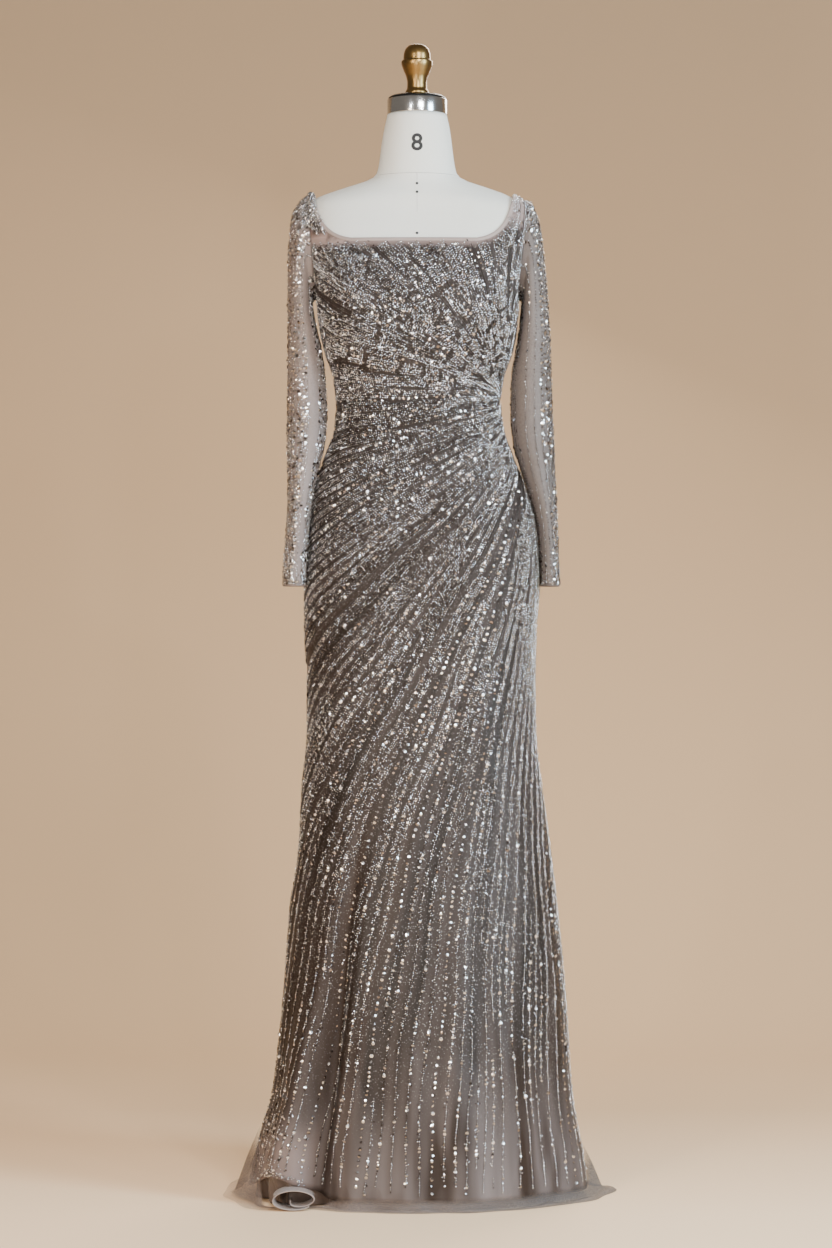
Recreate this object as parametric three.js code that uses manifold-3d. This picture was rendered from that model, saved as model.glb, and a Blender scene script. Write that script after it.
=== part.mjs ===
// A floor-length evening gown with empty sleeves, standing on a limbless dress form.
// Millimetres, +Z up. The front faces -Y and +X is the viewer's right. The origin is on the floor,
// at the centre of the stand's round base.
import * as THREE from 'three';
import { mergeVertices } from 'three/addons/utils/BufferGeometryUtils.js';
import Module from 'manifold-3d';

const wasm = await Module();
wasm.setup();

// Driving dimensions
const CLOTH = 2.0; // wall of the beaded net with its satin lining
const SLEEVE_CLOTH = 1.4; // wall of the single net sleeve
const NET_CLOTH = 1.2; // the free edge of the net on the floor
const BINDING_CLOTH = 1.2; // satin binding folded over the neckline
const BINDING_WIDTH = 6;
const SEAM_GAP = 0.3; // what parts two pieces where they are sewn together
const FORM_GAP = 0.5; // between the lining and the canvas of the form
const ARMHOLE_GAP = 0.8; // between the sleeve's seam and the body
const BINDING_GAP = 0.5;
const AROUND = 48; // facets round the gown
const SLEEVE_AROUND = 18;
const TURNED = 24; // facets round a turned piece
const HEM_Z = 22; // the satin hem above the floor
const GOWN_TOP_Z = 1500;

// The gown's outside, one row a height: half widths left and right of the pole, depths in front of it
// and behind it, and how square the section is (2 is an ellipse). The rows over 1500 are the form's neck.
const BODY = [
  { z: 0, left: 247, right: 251, front: 215, back: 250, square: 2.1 },
  { z: 22, left: 245, right: 250, front: 214, back: 243, square: 2.1 },
  { z: 60, left: 238, right: 245, front: 210, back: 234, square: 2.1 },
  { z: 105, left: 228, right: 237, front: 205, back: 225, square: 2.1 },
  { z: 150, left: 216, right: 231, front: 199, back: 216, square: 2.1 },
  { z: 240, left: 206, right: 226, front: 185, back: 200, square: 2.1 },
  { z: 330, left: 197, right: 219, front: 169, back: 183, square: 2.1 },
  { z: 420, left: 190, right: 210, front: 152, back: 164, square: 2.1 },
  { z: 510, left: 177, right: 199, front: 136, back: 146, square: 2.1 },
  { z: 600, left: 172, right: 187, front: 123, back: 130, square: 2.15 },
  { z: 690, left: 164, right: 177, front: 114, back: 119, square: 2.2 },
  { z: 760, left: 164, right: 176, front: 111, back: 119, square: 2.25 },
  { z: 847, left: 168, right: 178, front: 111, back: 127, square: 2.3 },
  { z: 915, left: 168, right: 183, front: 113, back: 133, square: 2.3 },
  { z: 990, left: 161, right: 179, front: 111, back: 130, square: 2.3 },
  { z: 1050, left: 153, right: 163, front: 106, back: 118, square: 2.25 },
  { z: 1100, left: 137, right: 143, front: 98, back: 103, square: 2.2 },
  { z: 1140, left: 123, right: 129, front: 93, back: 91, square: 2.2 },
  { z: 1180, left: 120, right: 124, front: 92, back: 87, square: 2.2 },
  { z: 1215, left: 124, right: 128, front: 98, back: 90, square: 2.25 },
  { z: 1262, left: 138, right: 143, front: 115, back: 96, square: 2.4 },
  { z: 1310, left: 146, right: 149, front: 123, back: 101, square: 2.5 },
  { z: 1350, left: 152, right: 152, front: 118, back: 104, square: 2.7 },
  { z: 1400, left: 160, right: 160, front: 101, back: 99, square: 3.1 },
  { z: 1440, left: 165, right: 165, front: 83, back: 88, square: 3.3 },
  { z: 1465, left: 166, right: 165, front: 72, back: 79, square: 3.0 },
  { z: 1478, left: 162, right: 157, front: 68, back: 74, square: 2.6 },
  { z: 1486, left: 154, right: 147, front: 65, back: 70, square: 2.2 },
  { z: 1493, left: 138, right: 134, front: 62, back: 67, square: 1.9 },
  { z: 1500, left: 118, right: 115, front: 58, back: 62, square: 1.75 },
  { z: 1508, left: 92, right: 90, front: 54, back: 58, square: 1.8 },
  { z: 1516, left: 69, right: 68, front: 51, back: 55, square: 1.9 },
  { z: 1526, left: 60, right: 59, front: 49, back: 52, square: 2 },
  { z: 1546, left: 56, right: 55, front: 48, back: 50, square: 2 },
  { z: 1570, left: 53, right: 52, front: 47, back: 48, square: 2 },
  { z: 1592, left: 49, right: 49, front: 46, back: 46, square: 2 },
  { z: 1612, left: 44.5, right: 44.5, front: 44.5, back: 44.5, square: 2 },
];

// Folds that hang down the skirt: where each lies in degrees from the centre front, how wide it is,
// how far it stands out at the hem (less than 0 is a trough), and the height where it begins.
const FOLDS = [
  { angle: -52.5, width: 8, out: 28, top: 420 },
  { angle: -37.5, width: 6, out: -25, top: 620 },
  { angle: -15, width: 7, out: -7, top: 520 },
  { angle: 7.5, width: 6, out: -8, top: 420 },
  { angle: 30, width: 6, out: -6, top: 600 },
  { angle: 52.5, width: 7, out: -9, top: 520 },
  { angle: 75, width: 8, out: 9, top: 260 },
  { angle: 105, width: 8, out: -12, top: 560 },
  { angle: 127.5, width: 8, out: -14, top: 620 },
  { angle: 157.5, width: 8, out: -12, top: 500 },
  { angle: 180, width: 8, out: -15, top: 640 },
  { angle: 210, width: 8, out: -13, top: 520 },
  { angle: 240, width: 8, out: -14, top: 600 },
  { angle: 262.5, width: 8, out: -9, top: 440 },
  { angle: 285, width: 8, out: 10, top: 250 },
];

// Two soft cups in the front of the bodice
const CUP = { angle: 36, width: 17, out: 6, z: 1312, height: 48 };

// The hem's front corner that is turned up over the rolled lining
const LIFTED_CORNER = { angle: -50, width: 11, out: 27 };
const LIFT_TOP_Z = 150;

// Sleeve rings from the armhole to the cuff: the edge next to the body, the outer edge, and the depth
const SLEEVE_LEFT = [
  { innerX: -158.5, innerZ: 1333, outerX: -177, outerZ: 1485, depth: 54, midY: 4 },
  { innerX: -156.5, innerZ: 1318, outerX: -189, outerZ: 1452, depth: 56, midY: 4 },
  { innerX: -152.5, innerZ: 1296, outerX: -192, outerZ: 1385, depth: 55, midY: 3 },
  { innerX: -144.5, innerZ: 1262, outerX: -193, outerZ: 1310, depth: 53, midY: 2 },
  { innerX: -138, innerZ: 1215, outerX: -193.5, outerZ: 1230, depth: 50, midY: 0 },
  { innerX: -135.5, innerZ: 1165, outerX: -193.5, outerZ: 1165, depth: 47, midY: -3 },
  { innerX: -138, innerZ: 1125, outerX: -193.5, outerZ: 1125, depth: 46, midY: -6 },
  { innerX: -148.5, innerZ: 1085, outerX: -192.5, outerZ: 1085, depth: 44, midY: -10 },
  { innerX: -160.5, innerZ: 1035, outerX: -192, outerZ: 1035, depth: 43, midY: -14 },
  { innerX: -167, innerZ: 985, outerX: -194.5, outerZ: 985, depth: 41, midY: -20 },
  { innerX: -170, innerZ: 940, outerX: -198, outerZ: 940, depth: 39, midY: -25 },
  { innerX: -171, innerZ: 905, outerX: -199, outerZ: 905, depth: 38, midY: -28 },
];
const SLEEVE_RIGHT = [
  { innerX: 158.5, innerZ: 1333, outerX: 172, outerZ: 1486, depth: 54, midY: 4 },
  { innerX: 157, innerZ: 1318, outerX: 181, outerZ: 1450, depth: 56, midY: 4 },
  { innerX: 154.5, innerZ: 1296, outerX: 191, outerZ: 1385, depth: 55, midY: 5 },
  { innerX: 149.5, innerZ: 1262, outerX: 197, outerZ: 1310, depth: 53, midY: 6 },
  { innerX: 142, innerZ: 1215, outerX: 201, outerZ: 1230, depth: 50, midY: 7 },
  { innerX: 141, innerZ: 1165, outerX: 202.5, outerZ: 1165, depth: 47, midY: 8 },
  { innerX: 144, innerZ: 1125, outerX: 204.5, outerZ: 1125, depth: 46, midY: 9 },
  { innerX: 155.5, innerZ: 1085, outerX: 206, outerZ: 1085, depth: 44, midY: 10 },
  { innerX: 173, innerZ: 1035, outerX: 208, outerZ: 1035, depth: 43, midY: 10 },
  { innerX: 184.5, innerZ: 985, outerX: 210, outerZ: 985, depth: 41, midY: 10 },
  { innerX: 187.5, innerZ: 940, outerX: 211.5, outerZ: 940, depth: 39, midY: 10 },
  { innerX: 188, innerZ: 905, outerX: 213, outerZ: 905, depth: 38, midY: 10 },
];
const ARMHOLE = { y: 4, z: 1407.5, halfDepth: 50, halfHeight: 68 };

// Neckline: the strap's inner corner on each shoulder, and the corners of the flat scoop
const NECKLINE = {
  leftX: -155, leftZ: 1484, rightX: 145, rightZ: 1487,
  frontLeftX: -99, frontRightX: 90, frontZ: 1428,
  backLeftX: -92, backRightX: 84, backZ: 1441,
};
const NECKLINE_CORNER = { inset: 12, rise: 6 };

// Free edge of the net on the floor: how far it runs out past the hem, by angle from the centre front
const NET_EDGE = { out: 8 };
const NET_LOBES = [
  { angle: -84, width: 26, out: 34 },
  { angle: -112, width: 17, out: 16 },
  { angle: -52, width: 11, out: 14 },
  { angle: 92, width: 7, out: 30 },
  { angle: 66, width: 15, out: 12 },
  { angle: 180, width: 52, out: 40 },
];
const NET_OVERLAP = 12; // how far the free net reaches up outside the hem
const NET_LAID = { angle: -50, width: 9 }; // where the net lies flat under the rolled lining

// The rolled satin at the front corner, seen from the front
const ROLL = { x: -178, y: -148, length: 52, halfWidth: 32, halfHeight: 15, wall: 2 };

// Dress form and stand
const FORM_BOTTOM_Z = 862;
const NECK_TOP_Z = 1612;
const BARE_NECK_Z = 1530; // over this the form's own skin is the table's
const POLE_RADIUS = 14;
const BASE_RADIUS = 160;
const BASE_HUB_Z = 18;
const COLLAR = { bottom: 834, radius: 24 };
const NECK_PLATE = [
  { radius: 43.4, z: 1612.3 }, { radius: 44.6, z: 1614 }, { radius: 44.6, z: 1636 },
  { radius: 42.4, z: 1640 }, { radius: 22, z: 1643 },
];
const KNOB = [
  { radius: 17.2, z: 1643.3 }, { radius: 17.6, z: 1647 }, { radius: 14.8, z: 1653 },
  { radius: 14.6, z: 1661 }, { radius: 16, z: 1669 }, { radius: 19.6, z: 1678 },
  { radius: 23.4, z: 1689 }, { radius: 23.6, z: 1692 }, { radius: 20.6, z: 1695 },
  { radius: 20, z: 1703 }, { radius: 17, z: 1712 }, { radius: 10, z: 1717.6 },
];

// Concealed zip: the slider under the back neckline and its pull tab
const ZIP = {
  z: 1424, bodyWidth: 5, bodyTop: 1.9, bodyLow: -1.5, bodyHigh: 6.5,
  lugInner: 1.9, lugWidth: 1, lugLow: -5.4, lugTop: 4.1, pinOut: 2.9, pinUp: -4.2, pinRadius: 0.8,
};
const PULL = { eyeOuter: 2.2, eyeInner: 1.15, halfWidth: 1.6, plate: 1, neck: 1.6, tip: 3, length: 21 };

const degrees = (angle) => THREE.MathUtils.degToRad(angle);

// Monotone cubic through the rows of a table, every column at once
function smoothTable(rows) {
  const columns = Object.keys(rows[0]).filter((name) => name !== 'z');
  const slopes = {};
  for (const name of columns) {
    const steps = [];
    for (let i = 0; i < rows.length - 1; i += 1) {
      steps.push((rows[i + 1][name] - rows[i][name]) / (rows[i + 1].z - rows[i].z));
    }
    slopes[name] = rows.map((row, i) => {
      if (i === 0) return steps[0];
      if (i === rows.length - 1) return steps[i - 1];
      const turns = steps[i - 1] * steps[i] <= 0;
      return turns ? 0 : (2 * steps[i - 1] * steps[i]) / (steps[i - 1] + steps[i]);
    });
  }
  return (z) => {
    let low = 0;
    while (low < rows.length - 2 && rows[low + 1].z < z) low += 1;
    const span = rows[low + 1].z - rows[low].z;
    const t = THREE.MathUtils.clamp((z - rows[low].z) / span, 0, 1);
    const result = {};
    for (const name of columns) {
      const start = rows[low][name];
      const end = rows[low + 1][name];
      const leave = slopes[name][low] * span;
      const arrive = slopes[name][low + 1] * span;
      result[name] = start * (2 * t ** 3 - 3 * t ** 2 + 1) + leave * (t ** 3 - 2 * t ** 2 + t)
        + end * (3 * t ** 2 - 2 * t ** 3) + arrive * (t ** 3 - t ** 2);
    }
    return result;
  };
}

const bodyAt = smoothTable(BODY);

// A soft bump over the angle, 1 at its middle, measured the short way round
function bump(angle, middle, width) {
  const away = THREE.MathUtils.euclideanModulo(angle - middle + 180, 360) - 180;
  return Math.exp(-0.5 * (away / width) ** 2);
}

const ease = (t) => THREE.MathUtils.smoothstep(t, 0, 1);

// A point of the gown's outside at an angle in degrees from the centre front
function skinPoint(angle, z) {
  const row = bodyAt(z);
  const side = Math.sin(degrees(angle));
  const ahead = Math.cos(degrees(angle));
  const halfWidth = side < 0 ? row.left : row.right;
  const halfDepth = ahead < 0 ? row.back : row.front;
  const n = row.square;
  let radius = ((Math.abs(side) / halfWidth) ** n + (Math.abs(ahead) / halfDepth) ** n) ** (-1 / n);
  for (const fold of FOLDS) {
    radius += fold.out * bump(angle, fold.angle, fold.width) * ease(1 - z / fold.top) ** 1.2;
  }
  const cups = bump(angle, CUP.angle, CUP.width) + bump(angle, -CUP.angle, CUP.width);
  radius += CUP.out * cups * Math.exp(-0.5 * ((z - CUP.z) / CUP.height) ** 2);
  return new THREE.Vector3(radius * side, -radius * ahead, z);
}

// The same point moved out along the surface's normal
function skinOut(angle, z, out) {
  const point = skinPoint(angle, z);
  const along = skinPoint(angle + 0.5, z).sub(skinPoint(angle - 0.5, z));
  const up = skinPoint(angle, z + 1).sub(skinPoint(angle, z - 1));
  return point.addScaledVector(along.cross(up).normalize(), out);
}

// How far the hem is lifted at its turned-up corner
function hemLift(angle) {
  return LIFTED_CORNER.out * bump(angle, LIFTED_CORNER.angle, LIFTED_CORNER.width);
}

// Heights of the wall's rings at one angle, from the shoulder down to the hem
function ringHeights(angle) {
  const heights = BODY.map((row) => row.z).filter((z) => z > HEM_Z && z <= GOWN_TOP_Z).reverse();
  heights.push(HEM_Z);
  return heights.map((z) => z + hemLift(angle) * ease(1 - (z - HEM_Z) / (LIFT_TOP_Z - HEM_Z)));
}

// A point on the wall's flat facets, moved out from them, so that what lies on the cloth follows it
function clothPoint(angle, z, out) {
  const place = (angle + 180) / (360 / AROUND);
  const column = (index) => {
    const own = (360 * index) / AROUND - 180;
    const heights = ringHeights(own);
    let low = 1;
    while (low < heights.length - 1 && heights[low] > z) low += 1;
    const rise = (z - heights[low]) / (heights[low - 1] - heights[low]);
    return skinOut(own, heights[low], out).lerp(skinOut(own, heights[low - 1], out), rise);
  };
  const index = Math.floor(place);
  return column(index).lerp(column(index + 1), place - index);
}

// The angle, from near to far, at which the cloth stands a given distance out along one axis
function angleWhere(axis, distance, z, near, far) {
  let inner = near;
  let outer = far;
  for (let i = 0; i < 30; i += 1) {
    const middle = (inner + outer) / 2;
    if (Math.abs(clothPoint(middle, z, 0)[axis]) < distance) inner = middle;
    else outer = middle;
  }
  return (inner + outer) / 2;
}

// Solids from rings of points. Stations that close on themselves make a wall or a band.
function solidFrom(positions, indices) {
  const geometry = new THREE.BufferGeometry();
  geometry.setAttribute('position', new THREE.Float32BufferAttribute(positions, 3));
  geometry.setIndex(indices);
  const point = (k) => new THREE.Vector3(...positions.slice(3 * k, 3 * k + 3));
  let volume = 0;
  for (let i = 0; i < indices.length; i += 3) {
    volume += point(indices[i]).dot(point(indices[i + 1]).cross(point(indices[i + 2])));
  }
  if (volume < 0) geometry.setIndex(indices.slice().reverse());
  return geometry;
}

function bandSolid(stations) {
  const count = stations[0].length;
  const positions = stations.flatMap((station) => station.flatMap((p) => [p.x, p.y, p.z]));
  const indices = [];
  for (let i = 0; i < stations.length; i += 1) {
    const here = i * count;
    const next = ((i + 1) % stations.length) * count;
    for (let k = 0; k < count; k += 1) {
      const after = (k + 1) % count;
      indices.push(here + k, next + k, next + after, here + k, next + after, here + after);
    }
  }
  return solidFrom(positions, indices);
}

function stackSolid(rings) {
  const count = rings[0].length;
  const positions = rings.flatMap((ring) => ring.flatMap((p) => [p.x, p.y, p.z]));
  const indices = [];
  for (let i = 0; i < rings.length - 1; i += 1) {
    for (let k = 0; k < count; k += 1) {
      const after = (k + 1) % count;
      const low = i * count;
      const high = low + count;
      indices.push(low + k, low + after, high + after, low + k, high + after, high + k);
    }
  }
  for (const end of [0, rings.length - 1]) {
    const middle = rings[end].reduce((sum, p) => sum.add(p), new THREE.Vector3());
    middle.divideScalar(count);
    const centre = positions.length / 3;
    positions.push(middle.x, middle.y, middle.z);
    for (let k = 0; k < count; k += 1) {
      const after = (k + 1) % count;
      const here = end * count;
      if (end === 0) indices.push(centre, here + after, here + k);
      else indices.push(centre, here + k, here + after);
    }
  }
  return solidFrom(positions, indices);
}

function toManifold(source) {
  const geometry = source.index ? source.clone() : mergeVertices(source.clone());
  geometry.deleteAttribute('normal');
  geometry.deleteAttribute('uv');
  const merged = mergeVertices(geometry, 1e-4);
  return new wasm.Manifold(new wasm.Mesh({
    numProp: 3,
    vertProperties: new Float32Array(merged.attributes.position.array),
    triVerts: new Uint32Array(merged.index.array),
  }));
}

function fromManifold(manifold) {
  const mesh = manifold.getMesh();
  const geometry = new THREE.BufferGeometry();
  geometry.setAttribute('position', new THREE.BufferAttribute(mesh.vertProperties, 3));
  geometry.setIndex(new THREE.BufferAttribute(mesh.triVerts, 1));
  return geometry;
}

function block(from, to) {
  const size = new THREE.Vector3().subVectors(to, from);
  const geometry = new THREE.BoxGeometry(size.x, size.y, size.z);
  const middle = new THREE.Vector3().addVectors(from, to).multiplyScalar(0.5);
  return geometry.translate(middle.x, middle.y, middle.z);
}

// The gown's wall, still in one piece: stations round it, each down the outside and up the inside
function wholeWall(grown) {
  const stations = [];
  for (let i = 0; i < AROUND; i += 1) {
    const angle = (360 * i) / AROUND - 180;
    const heights = ringHeights(angle);
    heights[heights.length - 1] -= grown;
    const outside = heights.map((z) => skinOut(angle, z, grown));
    const inside = heights.map((z) => skinOut(angle, z, -CLOTH - grown));
    inside[inside.length - 1].z = outside[outside.length - 1].z;
    stations.push([...outside, ...inside.reverse()]);
  }
  return toManifold(bandSolid(stations));
}

// What the neckline takes away, on one side of the shoulder seam
function scoop(isBack) {
  const n = NECKLINE;
  const z = isBack ? n.backZ : n.frontZ;
  const left = isBack ? n.backLeftX : n.frontLeftX;
  const right = isBack ? n.backRightX : n.frontRightX;
  const shape = new THREE.Shape();
  shape.moveTo(n.leftX, GOWN_TOP_Z + 20);
  shape.lineTo(n.leftX, n.leftZ);
  shape.quadraticCurveTo(n.leftX + NECKLINE_CORNER.inset, z + NECKLINE_CORNER.rise, left, z);
  shape.lineTo(right, z);
  shape.quadraticCurveTo(n.rightX - NECKLINE_CORNER.inset, z + NECKLINE_CORNER.rise, n.rightX, n.rightZ);
  shape.lineTo(n.rightX, GOWN_TOP_Z + 20);
  shape.closePath();
  const reach = 200;
  const geometry = new THREE.ExtrudeGeometry(shape, { depth: reach, bevelEnabled: false, curveSegments: 10 });
  geometry.rotateX(Math.PI / 2);
  geometry.translate(0, isBack ? reach : 0, 0);
  return toManifold(geometry);
}

function armholeCut(side) {
  const shape = new THREE.Shape();
  shape.absellipse(0, 0, ARMHOLE.halfDepth, ARMHOLE.halfHeight, 0, 2 * Math.PI);
  const from = 100;
  const geometry = new THREE.ExtrudeGeometry(shape, { depth: 120, bevelEnabled: false, curveSegments: 20 });
  geometry.rotateX(Math.PI / 2);
  geometry.rotateZ(Math.PI / 2);
  geometry.translate(side < 0 ? -from - 120 : from, ARMHOLE.y, ARMHOLE.z);
  return toManifold(geometry);
}

// Front and back panels, parted along the sides and the centre back
function gownPanels() {
  let wall = wholeWall(0);
  for (const cut of [scoop(false), scoop(true), armholeCut(-1), armholeCut(1)]) {
    wall = wall.subtract(cut);
  }
  const far = 600;
  const half = SEAM_GAP / 2;
  const corner = (x, y, z) => new THREE.Vector3(x, y, z);
  const top = GOWN_TOP_Z + 50;
  const boxes = {
    gown_front: block(corner(-far, -far, -10), corner(far, -half, top)),
    gown_back_left: block(corner(-far, half, -10), corner(-half, far, top)),
    gown_back_right: block(corner(half, half, -10), corner(far, far, top)),
  };
  const panels = {};
  for (const [name, box] of Object.entries(boxes)) {
    panels[name] = fromManifold(wall.intersect(toManifold(box)));
  }
  return panels;
}

// A piece that lies on the gown, trimmed where it would come nearer than the seam gap
function clearOfGown(geometry) {
  const trimmed = toManifold(geometry).subtract(wholeWall(SEAM_GAP));
  const pieces = trimmed.decompose().sort((a, b) => b.volume() - a.volume());
  return fromManifold(pieces[0]);
}

// The neckline's cut edge on the cloth, from the centre front all the way round
function necklineEdge() {
  const n = NECKLINE;
  const edge = [];
  const flatSteps = 8;
  const curveSteps = 12;
  const half = (isBack, flatX, z, endX, endZ) => {
    const points = [];
    const near = isBack ? Math.sign(endX) * 180 : 0;
    const add = (x, height) => {
      const angle = angleWhere('x', Math.abs(x), height, near, Math.sign(endX) * 90);
      points.push({ angle, z: height });
    };
    for (let i = 1; i <= flatSteps; i += 1) add((flatX * i) / flatSteps, z);
    const curve = new THREE.QuadraticBezierCurve(
      new THREE.Vector2(flatX, z),
      new THREE.Vector2(endX - Math.sign(endX) * NECKLINE_CORNER.inset, z + NECKLINE_CORNER.rise),
      new THREE.Vector2(endX, endZ),
    );
    for (let i = 1; i <= curveSteps; i += 1) {
      const p = curve.getPoint(1 - (1 - i / curveSteps) ** 2);
      add(p.x, p.y);
    }
    return points;
  };
  const frontLeft = half(false, n.frontLeftX, n.frontZ, n.leftX, n.leftZ);
  const backLeft = half(true, n.backLeftX, n.backZ, n.leftX, n.leftZ).slice(0, -1);
  const backRight = half(true, n.backRightX, n.backZ, n.rightX, n.rightZ);
  const frontRight = half(false, n.frontRightX, n.frontZ, n.rightX, n.rightZ).slice(0, -1);
  edge.push({ angle: 0, z: n.frontZ }, ...frontLeft, ...backLeft.reverse());
  edge.push({ angle: 180, z: n.backZ }, ...backRight, ...frontRight.reverse());
  return edge;
}

// A satin band on the cloth, its upper edge on the cut edge of the neckline
function neckBinding() {
  const edge = necklineEdge();
  const points = edge.map((p) => clothPoint(p.angle, p.z, 0));
  const above = new THREE.Vector3(0, 0, NECK_TOP_Z);
  const stations = points.map((p, i) => {
    const next = points[(i + 1) % points.length];
    const last = points[(i + points.length - 1) % points.length];
    const normal = skinOut(edge[i].angle, edge[i].z, 1).sub(skinPoint(edge[i].angle, edge[i].z));
    const across = new THREE.Vector3().subVectors(next, last).cross(normal).normalize();
    if (across.dot(new THREE.Vector3().subVectors(p, above)) < 0) across.negate();
    const corner = (width, out) => p.clone().addScaledVector(across, width).addScaledVector(normal, out);
    return [
      corner(0, BINDING_GAP), corner(BINDING_WIDTH, BINDING_GAP),
      corner(BINDING_WIDTH, BINDING_GAP + BINDING_CLOTH), corner(0, BINDING_GAP + BINDING_CLOTH),
    ];
  });
  return bandSolid(stations);
}

// One hanging sleeve. Its first ring lies on the body round the armhole.
function sleeve(rows, side) {
  const stations = [];
  for (let i = 0; i < SLEEVE_AROUND; i += 1) {
    const turn = (2 * Math.PI * i) / SLEEVE_AROUND;
    const line = (inset) => {
      const points = [];
      const y = ARMHOLE.y + (ARMHOLE.halfDepth + 1 - inset) * Math.sin(turn);
      const z = ARMHOLE.z + (ARMHOLE.halfHeight + 1 - inset) * Math.cos(turn);
      points.push(new THREE.Vector3(sideX(y, z, side) + side * ARMHOLE_GAP, y, z));
      for (const row of rows) {
        const halfX = (row.outerX - row.innerX) / 2;
        const halfZ = (row.outerZ - row.innerZ) / 2;
        const shrink = 1 - inset / Math.hypot(halfX, halfZ);
        points.push(new THREE.Vector3(
          (row.outerX + row.innerX) / 2 + halfX * shrink * Math.cos(turn),
          row.midY + (row.depth - inset) * Math.sin(turn),
          (row.outerZ + row.innerZ) / 2 + halfZ * shrink * Math.cos(turn),
        ));
      }
      return points;
    };
    stations.push([...line(0), ...line(SLEEVE_CLOTH).reverse()]);
  }
  return bandSolid(stations);
}

// x of the gown's side at a given y and z
function sideX(y, z, side) {
  const angle = angleWhere('y', Math.abs(y), z, side * 90, y < 0 ? side * 5 : side * 175);
  return clothPoint(angle, z, 0).x;
}

// The net's free edge: over the hem, down to the floor and out along it
function netHem() {
  const stations = [];
  for (let i = 0; i < AROUND; i += 1) {
    const angle = (360 * i) / AROUND - 180;
    const hem = HEM_Z + hemLift(angle);
    const laid = Math.min(1, 1.6 * bump(angle, NET_LAID.angle, NET_LAID.width));
    let spread = NET_EDGE.out;
    for (const lobe of NET_LOBES) spread += lobe.out * bump(angle, lobe.angle, lobe.width);
    const foot = skinPoint(angle, HEM_Z);
    const away = new THREE.Vector3(foot.x, foot.y, 0).normalize();
    const radius = Math.hypot(foot.x, foot.y);
    const at = (out, z) => away.clone().multiplyScalar(radius + out).setZ(z);
    const high = clothPoint(angle, hem + NET_OVERLAP, SEAM_GAP + NET_CLOTH);
    const highIn = clothPoint(angle, hem + NET_OVERLAP, SEAM_GAP);
    const edge = clothPoint(angle, hem, SEAM_GAP + NET_CLOTH);
    const edgeIn = clothPoint(angle, hem, SEAM_GAP);
    const floorIn = at(spread * 0.35, 0);
    const floorTop = at(spread * 0.35 + NET_CLOTH * 0.6, NET_CLOTH);
    const down = (p, q) => p.lerp(q, laid);
    stations.push([
      down(high, at(2, NET_CLOTH)), down(edge, at(4, NET_CLOTH)), floorTop, at(spread, NET_CLOTH),
      at(spread, 0), floorIn, down(edgeIn, at(4, 0)), down(highIn, at(2, 0)),
    ]);
  }
  return bandSolid(stations);
}

// Satin lining that curls over at the front corner: an open loop, seen from the front
function liningRoll() {
  const outer = [];
  const inner = [];
  const steps = 22;
  for (let i = 0; i <= steps; i += 1) {
    const t = i / steps;
    const turn = degrees(-62 - 300 * t);
    const size = 1 - 0.34 * Math.max(0, t - 0.62);
    const x = Math.cos(turn);
    const z = Math.sin(turn);
    outer.push(new THREE.Vector2(ROLL.halfWidth * size * x, ROLL.halfHeight * size * z));
    inner.push(new THREE.Vector2(
      (ROLL.halfWidth * size - ROLL.wall) * x, (ROLL.halfHeight * size - ROLL.wall) * z,
    ));
  }
  const shape = new THREE.Shape([...outer, ...inner.reverse()]);
  const geometry = new THREE.ExtrudeGeometry(shape, { depth: ROLL.length, bevelEnabled: false });
  geometry.rotateX(Math.PI / 2);
  geometry.translate(0, 0, ROLL.halfHeight + NET_CLOTH + SEAM_GAP);
  return geometry;
}

// The form's canvas body with its neck, a fixed distance inside the gown
function formTorso() {
  const heights = BODY.map((row) => row.z).filter((z) => z > FORM_BOTTOM_Z + 20);
  const rings = [];
  const ring = (z, inset) => {
    const points = [];
    for (let i = 0; i < AROUND; i += 1) points.push(skinOut((360 * i) / AROUND, z, -inset));
    return points;
  };
  const inset = CLOTH + FORM_GAP;
  rings.push(ring(FORM_BOTTOM_Z, inset + 30).map((p) => p.setZ(FORM_BOTTOM_Z)));
  rings.push(ring(FORM_BOTTOM_Z + 5, inset + 12));
  rings.push(ring(FORM_BOTTOM_Z + 18, inset + 2));
  for (const z of heights) {
    const bare = ease((z - GOWN_TOP_Z) / (BARE_NECK_Z - GOWN_TOP_Z));
    rings.push(ring(z, inset * (1 - bare)));
  }
  rings[rings.length - 1].forEach((p) => p.setZ(NECK_TOP_Z));
  return stackSolid(rings);
}

// A turned piece from its outline, closed on the axis
function turned(outline, topZ) {
  const points = outline.map((p) => new THREE.Vector2(p.radius, p.z));
  points.unshift(new THREE.Vector2(0, outline[0].z));
  points.push(new THREE.Vector2(0, topZ));
  return new THREE.LatheGeometry(points, TURNED).rotateX(Math.PI / 2);
}

function formBase() {
  const outline = [
    { radius: BASE_RADIUS, z: 0 }, { radius: BASE_RADIUS, z: 6 }, { radius: BASE_RADIUS - 6, z: 9 },
    { radius: 40, z: BASE_HUB_Z - 2 }, { radius: 34, z: BASE_HUB_Z },
  ];
  return turned(outline, BASE_HUB_Z);
}

function formPole() {
  const low = BASE_HUB_Z + SEAM_GAP;
  const high = FORM_BOTTOM_Z - SEAM_GAP;
  return turned([{ radius: POLE_RADIUS, z: low }, { radius: POLE_RADIUS, z: high }], high);
}

function formCollar() {
  const bore = POLE_RADIUS + SEAM_GAP;
  const high = FORM_BOTTOM_Z - SEAM_GAP;
  const outline = [
    [bore, COLLAR.bottom], [COLLAR.radius - 2, COLLAR.bottom], [COLLAR.radius, COLLAR.bottom + 2],
    [COLLAR.radius, high], [bore, high], [bore, COLLAR.bottom],
  ];
  const points = outline.map(([radius, z]) => new THREE.Vector2(radius, z));
  return new THREE.LatheGeometry(points, TURNED).rotateX(Math.PI / 2);
}

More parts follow.
